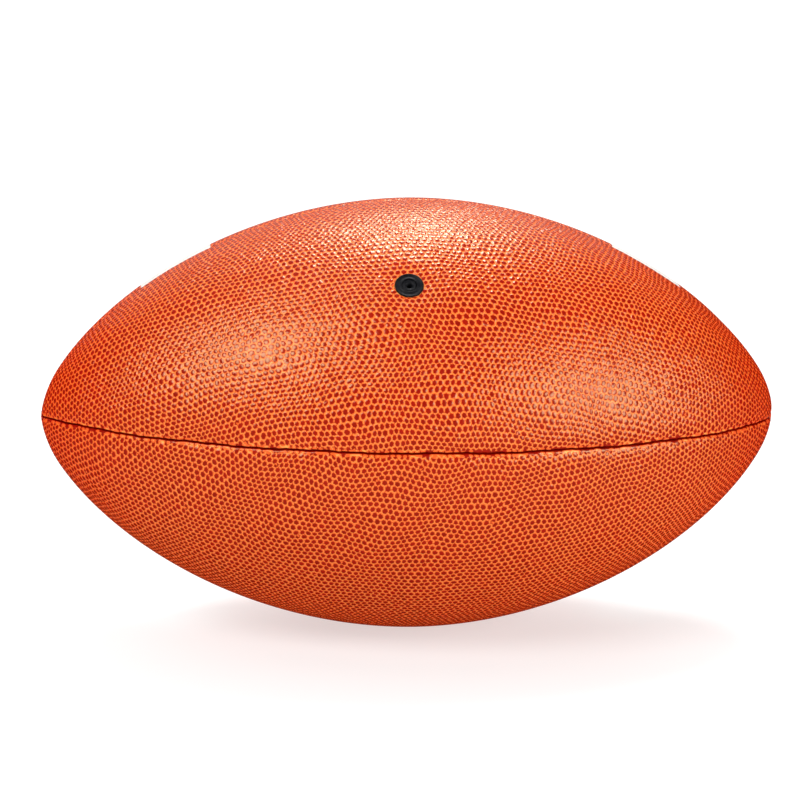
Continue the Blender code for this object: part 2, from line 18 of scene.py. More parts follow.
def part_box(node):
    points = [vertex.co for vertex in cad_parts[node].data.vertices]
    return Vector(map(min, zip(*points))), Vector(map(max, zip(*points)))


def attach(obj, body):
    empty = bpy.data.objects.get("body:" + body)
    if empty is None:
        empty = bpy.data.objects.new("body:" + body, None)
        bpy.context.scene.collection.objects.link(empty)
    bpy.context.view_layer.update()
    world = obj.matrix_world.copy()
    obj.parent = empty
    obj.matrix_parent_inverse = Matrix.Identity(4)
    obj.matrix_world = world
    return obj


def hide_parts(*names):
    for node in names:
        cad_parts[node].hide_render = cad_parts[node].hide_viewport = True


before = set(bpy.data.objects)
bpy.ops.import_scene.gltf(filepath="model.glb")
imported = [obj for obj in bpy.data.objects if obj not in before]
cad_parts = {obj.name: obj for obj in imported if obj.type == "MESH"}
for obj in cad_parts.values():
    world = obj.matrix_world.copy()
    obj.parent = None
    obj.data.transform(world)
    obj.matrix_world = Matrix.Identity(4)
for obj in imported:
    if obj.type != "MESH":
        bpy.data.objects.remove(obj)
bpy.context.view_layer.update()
LOG = logging.getLogger("football")
BODY = "root"
QUARTER = math.pi / 2
TINY = 1e-9
LENGTHWISE = (1.0, 0.0, 0.0)

Piece = bpy.types.Object
Socket = bpy.types.NodeSocket
Numbers = np.ndarray
Colour = tuple[float, float, float, float]
# The two ends of a hole's axis, and its radius
Hole = tuple[Vector, Vector, float]
# The grain's places on the flat leather, how high each stands from 0 to 1, and its pebble's number
Grain = tuple[Numbers, Numbers, Numbers]
# The angles of an edge's ring from the seam, its depths, and how high it stands from 0 to 1; in the
# seam's groove this mark is set high to paint the edge dark, partly as a dyed edge and partly as
# painted shade
Ring = tuple[Numbers, Numbers, Numbers]


class Seam(Enum):
    """The four seams, by their angle round the ball."""

    BACK = 0.0
    TOP = QUARTER
    FRONT = 2 * QUARTER
    BOTTOM = 3 * QUARTER


class Paint(Enum):
    """What is painted on a panel."""

    BARE = "bare"
    STRIPED = "striped"


class Lie(Enum):
    """How the lace's width lies: from along the ball, at 0, to round it, at 1."""

    CROSSING = 0.0
    TURNING = 0.5
    RUNNING = 1.0


# Nodes


class NodeSheet:
    """A material's nodes, each added and joined with one short call."""

    def __init__(self, tree: bpy.types.NodeTree) -> None:
        """Keeps the tree and its shader."""
        self.tree = tree
        self.shader = tree.nodes["Principled BSDF"]

    def join(self, target: Socket, value: object) -> None:
        """Joins a socket to an input, or sets the input to a value.

        Args:
            target: The input.
            value: The socket or the value.
        """
        if isinstance(value, Socket):
            self.tree.links.new(value, target)
        else:
            target.default_value = value

    def add(self, kind: str, inputs: dict[int | str, object], **settings: object) -> bpy.types.Node:
        """Adds a node.

        Args:
            kind: The node's type.
            inputs: A value, or a socket to join, for each input by its name or number.
            settings: The node's own settings.

        Returns:
            The node.
        """
        node = self.tree.nodes.new(kind)
        for name, value in settings.items():
            setattr(node, name, value)
        for key, value in inputs.items():
            self.join(node.inputs[key], value)
        return node

    def math(self, operation: str, *values: object) -> Socket:
        """The result of a sum on numbers."""
        node = self.add("ShaderNodeMath", dict(enumerate(values)), operation=operation)
        return node.outputs[0]

    def vector(self, operation: str, *values: object) -> Socket:
        """The result of a sum on vectors, which is a number for a dot product."""
        node = self.add("ShaderNodeVectorMath", dict(enumerate(values)), operation=operation)
        return node.outputs[1 if operation == "DOT_PRODUCT" else 0]

    def scaled(self, vector: object, factor: object) -> Socket:
        """A vector times a number."""
        node = self.add("ShaderNodeVectorMath", {0: vector, 3: factor}, operation="SCALE")
        return node.outputs[0]

    def varied(self, base: object, noise: Socket, share: float) -> Socket:
        """A number that a noise moves by up to half of this share each way."""
        return self.math("MULTIPLY_ADD", self.math("SUBTRACT", noise, 0.5), share, base)

    def step(self, value: object, low: float, high: float, *ends: float) -> Socket:
        """A smooth step of a value.

        Args:
            value: The number to map.
            low: Where the step starts.
            high: Where it ends.
            ends: What it gives before and after. They are 0 and 1 if left out.

        Returns:
            The socket of the result.
        """
        first, last = ends or (0.0, 1.0)
        inputs = {"Value": value, "From Min": low, "From Max": high}
        inputs |= {"To Min": first, "To Max": last}
        return self.add("ShaderNodeMapRange", inputs, interpolation_type="SMOOTHSTEP").outputs[0]

    def blend(self, share: object, first: object, second: object) -> Socket:
        """A blend of two colours."""
        node = self.add("ShaderNodeMix", {0: share, 6: first, 7: second}, data_type="RGBA")
        return node.outputs[2]

    def noise(self, place: object, scale: float, detail: float = 2.0) -> Socket:
        """The number that a noise texture gives."""
        inputs = {"Vector": place, "Scale": scale, "Detail": detail, "Roughness": 0.55}
        return self.add("ShaderNodeTexNoise", inputs).outputs[0]

    def place(self) -> Socket:
        """The place on the piece."""
        return self.add("ShaderNodeTexCoord", {}).outputs["Object"]

    def written(self, name: str) -> Socket:
        """The number that is written on the mesh under this name."""
        return self.add("ShaderNodeAttribute", {}, attribute_name=name).outputs["Fac"]

    def bump(self, height: Socket, depth: float) -> None:
        """Gives the surface a relief of this depth."""
        node = self.add("ShaderNodeBump", {"Strength": 1.0, "Distance": depth, "Height": height})
        self.feed(Normal=node.outputs[0])

    def feed(self, **inputs: object) -> None:
        """Joins sockets, or sets values, on the shader's inputs of these names."""
        for name, value in inputs.items():
            self.join(self.shader.inputs[name.replace("_", " ")], value)


class Finish:
    """A material of the ball, built from nodes when it is first asked for."""

    name = "finish"

    def dress(self, sheet: NodeSheet) -> None:
        """Adds the material's nodes."""
        raise NotImplementedError

    def material(self) -> bpy.types.Material:
        """Makes the material once.

        Returns:
            The material, new or made before.
        """
        made = bpy.data.materials.get(self.name)
        if made:
            return made
        made = bpy.data.materials.new(self.name)
        made.use_nodes = True
        self.dress(NodeSheet(made.node_tree))
        return made


@dataclass(frozen=True)
class PebbledLeather(Finish):
    """Orange leather whose raised pebbles are dyed dark red and polished.

    The mesh says how high each point stands on its pebble, from 0 to 1, and gives each pebble a
    number. The colour is a little darker and redder towards the ball's tips, which is painted
    shade.
    """

    paint: Paint = Paint.BARE
    # The valley colour is the leather's orange with a painted highlight: the valley floors are
    # painted bright yellow, like the net catching the light.
    valley: Colour = (1.0, 0.42, 0.080, 1)
    slope: Colour = (0.92, 0.105, 0.009, 1)
    slope_full: float = 0.36
    dye_from: float = 0.78
    dye_full: float = 0.95
    # Painted shade: the pebbles' rims and upper slopes are painted darker than their flat tops.
    shaded_pebble_rim: Colour = (0.29, 0.003, 0.001, 1)
    pebble: Colour = (0.36, 0.004, 0.001, 1)
    pebble_from: float = 0.90
    shade_least: float = 0.88
    tint_share: float = 0.24
    patch_share: float = 0.3
    patch_scale: float = 38.0
    speckle_share: float = 0.25
    speckle_scale: float = 2600.0
    speckle_depth: float = 0.000010
    # Painted shade: the colour is darkened and made redder towards the ball's tips.
    tip_shade: tuple[float, float, float] = (1.0, 0.60, 0.20)
    tip_shade_from: float = 0.095
    tip_shade_full: float = 0.145
    roughness: float = 0.40
    polish: float = 0.17
    specular: float = 0.95
    gloss: Colour = (1.0, 0.82, 0.42, 1)
    coat: float = 0.2
    coat_roughness: float = 0.13
    white: Colour = (0.86, 0.85, 0.82, 1)
    white_worn: float = 0.05
    white_roughness: float = 0.05
    stripe_middle: float = 0.0915
    stripe_half_width: float = 0.0135
    stripe_blur: float = 0.0002
    stripe_ragged: float = 0.0006
    ragged_scale: float = 900.0

    @property
    def name(self) -> str:
        """The material's name."""
        return f"{self.paint.value}_pebbled_leather"

    def stripes(self, sheet: NodeSheet, place: Socket, along: Socket) -> Socket:
        """Paints the two stripes across the panel.

        Args:
            sheet: The material's nodes.
            place: The place on the piece.
            along: How far that is from the ball's middle, along its axis.

        Returns:
            How white the paint is, from 0 to 1.
        """
        along = sheet.varied(along, sheet.noise(place, self.ragged_scale), self.stripe_ragged)
        off = sheet.math("ABSOLUTE", sheet.math("SUBTRACT", along, self.stripe_middle))
        full = self.stripe_half_width - self.stripe_blur
        return sheet.step(off, full, self.stripe_half_width, 1.0, 0.0)

    def dress(self, sheet: NodeSheet) -> None:
        """Adds the leather's nodes.

        Args:
            sheet: The material's nodes.
        """
        place, height = sheet.place(), sheet.written("pebble")
        along = sheet.math("ABSOLUTE", sheet.vector("DOT_PRODUCT", place, LENGTHWISE))
        patches = sheet.noise(place, self.patch_scale, detail=3.0)
        speckle = sheet.noise(place, self.speckle_scale)
        shade = sheet.math("MULTIPLY_ADD", sheet.written("tint"), self.tint_share, self.shade_least)
        shade = sheet.varied(shade, patches, self.patch_share)
        shade = sheet.varied(shade, speckle, self.speckle_share)
        # Valley floors brighter and yellower than the slopes: the leather's orange plus a painted
        # highlight on the net between the pebbles.
        ground = sheet.blend(sheet.step(height, 0.0, self.slope_full), self.valley, self.slope)
        # Painted shade: each pebble is darker at its rim than on its flat top.
        top = sheet.blend(sheet.step(height, self.pebble_from, 1.0), self.shaded_pebble_rim, self.pebble)
        dyed = sheet.step(height, self.dye_from, self.dye_full)
        colour = sheet.blend(dyed, ground, sheet.scaled(top, shade))
        # Painted shade: darker and redder towards the ball's tips.
        nose = sheet.step(along, self.tip_shade_from, self.tip_shade_full)
        colour = sheet.blend(nose, colour, sheet.vector("MULTIPLY", colour, self.tip_shade))
        rough = sheet.math("MULTIPLY_ADD", dyed, -self.polish, self.roughness)
        if self.paint is Paint.STRIPED:
            white = self.stripes(sheet, place, along)
            worn = sheet.math("MULTIPLY_ADD", dyed, -self.white_worn, 1.0)
            colour = sheet.blend(sheet.math("MULTIPLY", white, worn), colour, self.white)
            rough = sheet.math("MULTIPLY_ADD", white, self.white_roughness, rough)
        sheet.bump(speckle, self.speckle_depth)
        sheet.feed(Base_Color=colour, Roughness=rough, Specular_IOR_Level=self.specular)
        sheet.feed(Specular_Tint=self.gloss)
        sheet.feed(Coat_Weight=self.coat, Coat_Roughness=self.coat_roughness)


@dataclass(frozen=True)
class WhiteLace(Finish):
    """Tough white coated lace with a fine grain, rubbed a little grey in patches."""

    name: str = "coated_lace"
    white: Colour = (0.66, 0.65, 0.62, 1)
    rubbed: Colour = (0.46, 0.43, 0.39, 1)
    rubbed_from: float = 0.52
    rubbed_full: float = 0.78
    rubbed_most: float = 0.55
    dirt_scale: float = 180.0
    grain_scale: float = 1500.0
    grain_depth: float = 0.00007
    roughness: float = 0.34
    roughened: float = 0.2

    def dress(self, sheet: NodeSheet) -> None:
        """Adds the lace's nodes.

        Args:
            sheet: The material's nodes.
        """
        flat = sheet.add("ShaderNodeUVMap", {}, uv_map="UVMap").outputs[0]
        inputs = {"Vector": flat, "Scale": self.grain_scale}
        grain = sheet.add("ShaderNodeTexVoronoi", inputs, voronoi_dimensions="2D")
        dirt = sheet.noise(sheet.place(), self.dirt_scale, detail=4.0)
        rubbed = sheet.step(dirt, self.rubbed_from, self.rubbed_full, 0.0, self.rubbed_most)
        rough = sheet.math("MULTIPLY_ADD", dirt, self.roughened, self.roughness)
        sheet.bump(grain.outputs["Distance"], self.grain_depth)
        sheet.feed(Base_Color=sheet.blend(rubbed, self.white, self.rubbed), Roughness=rough)


@dataclass(frozen=True)
class Rubber(Finish):
    """Moulded rubber with a fine matt skin and patches of dust."""

    name: str = "moulded_rubber"
    base: Colour = (0.005, 0.005, 0.007, 1)
    dusty: Colour = (0.014, 0.014, 0.016, 1)
    dusty_from: float = 0.45
    dusty_full: float = 0.75
    roughness: float = 0.32
    roughened: float = 0.25
    specular: float = 0.16
    grain_scale: float = 3500.0
    grain_depth: float = 0.00002
    dust_coarser: float = 8.0

    def dress(self, sheet: NodeSheet) -> None:
        """Adds the rubber's nodes.

        Args:
            sheet: The material's nodes.
        """
        place = sheet.place()
        grain = sheet.noise(place, self.grain_scale, detail=3.0)
        dust = sheet.noise(place, self.grain_scale / self.dust_coarser, detail=3.0)
        dusty = sheet.step(dust, self.dusty_from, self.dusty_full)
        rough = sheet.math("MULTIPLY_ADD", dust, self.roughened, self.roughness)
        sheet.bump(grain, self.grain_depth)
        sheet.feed(Base_Color=sheet.blend(dusty, self.base, self.dusty), Roughness=rough)
        sheet.feed(Specular_IOR_Level=self.specular)


@dataclass(frozen=True)
class WovenCotton(Finish):
    """The plain weave of the linings, or, with a finer pitch, a twisted thread."""

    name: str = "woven_cotton"
    light: Colour = (0.80, 0.75, 0.64, 1)
    dark: Colour = (0.55, 0.49, 0.38, 1)
    dark_until: float = 0.1
    light_from: float = 0.9
    pitch: float = 0.0011
    warp: tuple[float, float, float] = (1.0, 0.3, 0.3)
    weft: tuple[float, float, float] = (-0.2, 1.0, -1.0)
    weave_share: float = 0.4
    fluff_scale: float = 1800.0
    depth: float = 0.00012
    roughness: float = 0.95
    sheen: float = 0.2

    def dress(self, sheet: NodeSheet) -> None:
        """Adds the weave's nodes.

        Args:
            sheet: The material's nodes.
        """
        place = sheet.place()
        turn = sheet.scaled(place, 2 * math.pi / self.pitch)
        turns = [sheet.vector("DOT_PRODUCT", turn, way) for way in (self.warp, self.weft)]
        weave = sheet.math("MULTIPLY", *(sheet.math("SINE", value) for value in turns))
        fluff = sheet.noise(place, self.fluff_scale, detail=4.0)
        height = sheet.math("MULTIPLY_ADD", weave, self.weave_share, fluff)
        light = sheet.step(height, self.dark_until, self.light_from)
        sheet.bump(height, self.depth)
        sheet.feed(Base_Color=sheet.blend(light, self.dark, self.light))
        sheet.feed(Roughness=self.roughness, Sheen_Weight=self.sheen)


@dataclass(frozen=True)
class RawLeather(Finish):
    """Undyed split leather, with its loose fibres up."""

    name: str = "raw_leather"
    light: Colour = (0.46, 0.24, 0.12, 1)
    dark: Colour = (0.24, 0.10, 0.045, 1)
    dark_until: float = 0.35
    light_from: float = 0.65
    fibre_scale: float = 1400.0
    fibre_share: float = 0.6
    fibre_depth: float = 0.0002
    blotch_scale: float = 120.0
    blotch_share: float = 0.4
    roughness: float = 0.85
    sheen: float = 0.3

    def dress(self, sheet: NodeSheet) -> None:
        """Adds the raw leather's nodes.

        Args:
            sheet: The material's nodes.
        """
        place = sheet.place()
        fibres = sheet.noise(place, self.fibre_scale, detail=6.0)
        blotches = sheet.noise(place, self.blotch_scale, detail=3.0)
        blotches = sheet.math("MULTIPLY", blotches, self.blotch_share)
        mixed = sheet.math("MULTIPLY_ADD", fibres, self.fibre_share, blotches)
        light = sheet.step(mixed, self.dark_until, self.light_from)
        sheet.bump(fibres, self.fibre_depth)
        sheet.feed(Base_Color=sheet.blend(light, self.dark, self.light))
        sheet.feed(Roughness=self.roughness, Sheen_Weight=self.sheen)


@dataclass(frozen=True)
class PaleFloor(Finish):
    """The plain pale floor, which glows enough to look white all over."""

    name: str = "pale_floor"
    pale: Colour = (0.45, 0.45, 0.45, 1)
    roughness: float = 0.9
    specular: float = 0.1
    glow: Colour = (1, 1, 1, 1)
    glow_strength: float = 0.58

    def dress(self, sheet: NodeSheet) -> None:
        """Sets the floor's colour and its glow."""
        sheet.feed(Base_Color=self.pale, Roughness=self.roughness, Specular_IOR_Level=self.specular)
        sheet.feed(Emission_Color=self.glow, Emission_Strength=self.glow_strength)


# Meshes


def unit(vectors: Numbers) -> Numbers:
    """These vectors, each made one unit long."""
    return vectors / np.linalg.norm(vectors, axis=-1, keepdims=True)


def add_object(name: str, data: bpy.types.ID) -> Piece:
    """Adds an object to the scene.

    Args:
        name: Its name.
        data: Its mesh, light or camera.

    Returns:
        The object.
    """
    added = bpy.data.objects.new(name, data)
    bpy.context.scene.collection.objects.link(added)
    return added


def new_piece(name: str) -> Piece:
    """Names the object that an operator has just added."""
    piece = bpy.context.object
    piece.name = piece.data.name = name
    return piece


def choose(piece: Piece) -> None:
    """Selects one piece alone, in object mode, and makes it the active one.

    Args:
        piece: The piece.
    """
    if bpy.context.mode != "OBJECT":
        bpy.ops.object.mode_set(mode="OBJECT")
    bpy.ops.object.select_all(action="DESELECT")
    piece.select_set(True)
    bpy.context.view_layer.objects.active = piece


def close_up(piece: Piece, merge: float) -> None:
    """Sews a piece's open edges together, fills its ends and turns its faces out.

    Args:
        piece: The piece.
        merge: How near each other two of its points become one.
    """
    choose(piece)
    bpy.ops.object.mode_set(mode="EDIT")
    bpy.ops.mesh.select_all(action="SELECT")
    bpy.ops.mesh.remove_doubles(threshold=merge)
    bpy.ops.mesh.fill_holes(sides=0)
    bpy.ops.mesh.normals_make_consistent(inside=False)
    bpy.ops.object.mode_set(mode="OBJECT")


def move_points(piece: Piece, places: Numbers) -> None:
    """Puts a piece's vertices at these places."""
    piece.data.vertices.foreach_set("co", places.ravel())
    piece.data.update()


def write_uv(piece: Piece, flat: Numbers) -> None:
    """Writes the piece's UV map.

    Args:
        piece: The piece.
        flat: Each vertex's place on the flat material.
    """
    corners = np.empty(len(piece.data.loops), np.int32)
    piece.data.loops.foreach_get("vertex_index", corners)
    layer = piece.data.uv_layers.get("UVMap") or piece.data.uv_layers.new(name="UVMap")
    layer.data.foreach_set("uv", flat[corners].astype(np.float32).ravel())


def add_grid(name: str, rows: int, columns: int) -> tuple[Piece, Numbers, Numbers]:
    """Adds a flat grid.

    Args:
        name: The piece's name.
        rows: The number of its strips along X.
        columns: The number along Y.

    Returns:
        The piece, and each vertex's row and column.
    """
    bpy.ops.mesh.primitive_grid_add(x_subdivisions=rows, y_subdivisions=columns, size=1.0)
    piece = new_piece(name)
    places = np.empty(len(piece.data.vertices) * 3)
    piece.data.vertices.foreach_get("co", places)
    places = places.reshape(-1, 3) + 0.5
    row = np.rint(places[:, 0] * rows).astype(int)
    column = np.rint(places[:, 1] * columns).astype(int)
    return piece, row, column


def cut_holes(piece: Piece, holes: Sequence[Hole], sides: int = 32) -> None:
    """Cuts round holes through a piece.

    Args:
        piece: The piece, which is one closed mesh.
        holes: The holes.
        sides: The number of each hole's sides.
    """
    cutters = []
    for start, end, radius in holes:
        axis = end - start
        bpy.ops.object.select_all(action="DESELECT")
        bpy.ops.mesh.primitive_cylinder_add(
            vertices=sides,
            radius=radius,
            depth=axis.length,
            location=(start + end) / 2,
            rotation=axis.to_track_quat("Z", "Y").to_euler(),
        )
        cutters.append(bpy.context.object)
    choose(cutters[0])
    for cutter in cutters:
        cutter.select_set(True)
    if len(cutters) > 1:
        bpy.ops.object.join()
    cutter = bpy.context.object
    modifier = piece.modifiers.new("holes", "BOOLEAN")
    modifier.operation = "DIFFERENCE"
    modifier.solver = "MANIFOLD"
    modifier.object = cutter
    choose(piece)
    bpy.ops.object.modifier_apply(modifier=modifier.name)
    bpy.data.objects.remove(cutter, do_unlink=True)


def finish_piece(piece: Piece, finish: Finish, replaced: Iterable[str]) -> None:
    """Dresses a finished piece, hangs it on the frame and reports it.

    Args:
        piece: The piece, in place.
        finish: Its finish.
        replaced: The nodes that it stands for.
    """
    piece.data.materials.clear()
    piece.data.materials.append(finish.material())
    choose(piece)
    bpy.ops.object.transform_apply(location=True, rotation=True, scale=True)
    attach(piece, BODY)
    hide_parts(*replaced)
    piece.data.calc_loop_triangles()
    LOG.info("%s: %d triangles", piece.name, len(piece.data.loop_triangles))


# The ball


@dataclass
class BallShape:
    """The shape of the inflated ball."""

    length: float = 0.290
    diameter: float = 0.1679
    belly_power: float = 1.93
    nose_power: float = 0.667
    tip_radius: float = 0.0005
    blunt: float = 0.0011
    blunt_from: float = 0.137
    samples: int = 6001
    least_bend: float = 1e-4
    centre: Vector = field(init=False)
    table_x: Numbers = field(init=False)
    table_s: Numbers = field(init=False)

    def __post_init__(self) -> None:
        """Works out the ball's centre from the frame, and the table of lengths along its side."""
        low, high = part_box("panel_front_lower")[0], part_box("panel_back_upper")[1]
        self.centre = (low + high) / 2
        turn = np.linspace(-QUARTER, QUARTER, self.samples)
        self.table_x = self.end_at(self.tip_radius) * np.sin(turn)
        steps = np.hypot(np.diff(self.table_x), np.diff(self.radius(self.table_x)))
        self.table_s = np.concatenate([[0.0], np.cumsum(steps)])
        self.table_s -= self.table_s[-1] / 2

    @property
    def half_side(self) -> float:
        """The length along the side from the middle to the tip."""
        return self.table_s[-1]

    def radius(self, x: Numbers) -> Numbers:
        """The ball's radius at x along its axis."""
        share = np.clip(np.abs(2 * x / self.length), 0.0, 1.0)
        return self.diameter / 2 * (1 - share**self.belly_power) ** self.nose_power

    def end_at(self, radius: float) -> float:
        """The distance from the middle at which the ball has this radius."""
        rest = 1 - (2 * radius / self.diameter) ** (1 / self.nose_power)
        return self.length / 2 * rest ** (1 / self.belly_power)

    def slope(self, x: Numbers) -> Numbers:
        """Works out how fast the radius grows along the axis.

        Args:
            x: The places along the axis.

        Returns:
            The growth of the radius for each unit along the axis.
        """
        share = np.clip(np.abs(2 * x / self.length), TINY, 1 - TINY)
        rest = 1 - share**self.belly_power
        fall = self.belly_power * share ** (self.belly_power - 1) * self.nose_power
        return -np.sign(x) * self.diameter / self.length * fall * rest ** (self.nose_power - 1)

    def place_along(self, s: Numbers) -> Numbers:
        """The place along the axis of a point at this length along the side from the middle."""
        return np.interp(s, self.table_s, self.table_x)

    def length_along(self, x: Numbers) -> Numbers:
        """The length along the side, from the middle, at this place along the axis."""
        return np.interp(x, self.table_x, self.table_s)

    def point(self, x: Numbers, angle: Numbers, depth: Numbers) -> Numbers:
        """Finds points of the ball, whose tips are drawn in a little and so are blunt.

        Args:
            x: The places along the axis.
            angle: The angles round it.
            depth: The depths below the surface.

        Returns:
            The points in the frame.
        """
        slope = self.slope(x)
        size = np.hypot(slope, 1.0)
        along = x + slope / size * depth
        away = np.maximum(self.radius(x) - depth / size, 0.0)
        nose = (np.abs(x) - self.blunt_from) / (self.length / 2 - self.blunt_from)
        along = along - np.sign(x) * self.blunt * np.clip(nose, 0.0, 1.0) ** 2
        places = np.stack([along, away * np.cos(angle), away * np.sin(angle)], axis=-1)
        return places + np.array(self.centre)

    def cone(self, x: Numbers) -> tuple[Numbers, Numbers]:
        """Finds the cone that touches the ball at x.

        Args:
            x: The places along the axis.

        Returns:
            The length of the cone's side up to there, and how far it turns when it is laid flat
            for each unit of turn round the ball.
        """
        slope = self.slope(x)
        bend = slope / np.hypot(slope, 1.0)
        bend = np.where(np.abs(bend) < self.least_bend, self.least_bend, bend)
        return self.radius(x) / bend, bend

    def flatten(self, x: Numbers, angle: Numbers) -> Numbers:
        """Finds where points of the ball lie on the flat leather.

        Each ring is unrolled as the cone that touches the ball there, which keeps the grain's
        size and shape.

        Args:
            x: The points' places along the axis.
            angle: Their angles from the panel's middle.

        Returns:
            Their places on the flat leather.
        """
        side, bend = self.cone(x)
        turn = angle * bend
        return np.stack([self.length_along(x) - side * (1 - np.cos(turn)), side * np.sin(turn)], -1)

    def roll_up(self, flat: Numbers, rounds: int = 40) -> tuple[Numbers, Numbers]:
        """Finds where places on the flat leather lie on the ball.

        Args:
            flat: The places.
            rounds: How often the answer is refined.

        Returns:
            The points' places along the axis and their angles from the panel's middle.
        """
        ahead, aside = flat[:, 0], flat[:, 1]
        s = ahead.copy()
        for _ in range(rounds):
            x = self.place_along(s)
            side, bend = self.cone(x)
            sine = np.clip(aside / side, -1.0, 1.0)
            s = ahead + side * (1 - np.sqrt(1 - sine**2))
        return x, np.arcsin(sine) / bend


@dataclass
class SeamShape:
    """How the panels' edges meet: they curl over, pucker at each stitch and are turned in.

    A limit is what a size keeps to near the tips: an angle, a share of the ball's radius or, for
    the throat, a share of the turned-in edge's depth.
    """

    gap: float = 0.0007
    leather: float = 0.0016
    curl_width: float = 0.0006
    curl_limit: float = math.radians(20)
    curl_drop: float = 0.0006
    drop_limit: float = 0.15
    closed: float = 0.1
    throat: float = 0.0015
    throat_limit: float = 0.6
    skin_limit: float = 0.4
    flange_limit: float = math.radians(30)
    turn_in_least: float = 0.0003
    turn_in: float = 0.0035
    turn_in_limit: float = 0.6
    turn_in_from: float = 0.008
    turn_in_full: float = 0.022
    roll: float = 0.0006
    roll_reach: float = 0.0024
    stitch: float = 0.0037
    stitch_drift: float = 0.8
    stitch_drift_length: float = 0.011
    pucker: float = 0.00016
    pucker_reach: float = 0.0022
    reach_change: float = 0.3
    reach_change_length: float = 0.0073
    wander: float = 0.00018
    wander_reach: float = 0.005
    wander_length: float = 0.0075
    seam_shift: float = 1.7
    ripples: tuple[tuple[float, float, float], ...] = ((1.0, 0.0021, 1.0), (0.7, 0.0009, 3.0))
    jag: float = 0.6
    jag_length: float = 0.00053
    jag_drift_length: float = 0.013
    lean: float = 0.010
    lean_middle: float = 0.0004
    lean_reach: float = 0.02
    lean_from: float = 0.009
    top_bend: float = 0.007
    top_bend_at: float = 0.100
    top_bend_reach: float = 0.035

    def puckers(self, s: Numbers, distance: Numbers) -> Numbers:
        """Works out how deep the seam rolls the leather in and its stitches pull it.

        Args:
            s: The lengths along the seam.
            distance: The distances from it.

        Returns:
            The depths.
        """
        drift = self.stitch_drift * np.sin(s / self.stitch_drift_length)
        beat = 0.5 + 0.5 * np.cos(2 * math.pi * s / self.stitch + drift)
        change = self.reach_change * np.sin(s / self.reach_change_length)
        reach = self.pucker_reach * (1 + change)
        pulled = self.pucker * beat * np.exp(-((distance / reach) ** 2))
        return pulled + self.roll * np.exp(-((distance / self.roll_reach) ** 2))

    def wandering(self, s: Numbers, seam: Seam) -> Numbers:
        """Works out how far a seam's line strays to one side, by a long wave, ripples and jags.

        Args:
            s: The lengths along the seam.
            seam: The seam.

        Returns:
            The distances.
        """
        start = self.seam_shift * seam.value
        waves = sum(
            size * np.sin(s / length + times * start) for size, length, times in self.ripples
        )
        waves += self.jag * np.sin(s / self.jag_length + 2 * np.sin(s / self.jag_drift_length))
        return self.wander * (0.5 * waves + np.sin(s / self.wander_length + 2 * start))

    def leaning(self, s: Numbers, seam: Seam) -> Numbers:
        """Works out how far a seam runs out of true.

        The front seam runs down to the right, and the top one bends to the front near the right
        stripe.

        Args:
            s: The lengths along the seam.
            seam: The seam.

        Returns:
            The distances, the way that angles are counted.
        """
        if seam is Seam.FRONT:
            return self.lean * s + self.lean_middle
        if seam is Seam.TOP:
            return self.top_bend * np.exp(-(((s - self.top_bend_at) / self.top_bend_reach) ** 2))
        return 0 * s


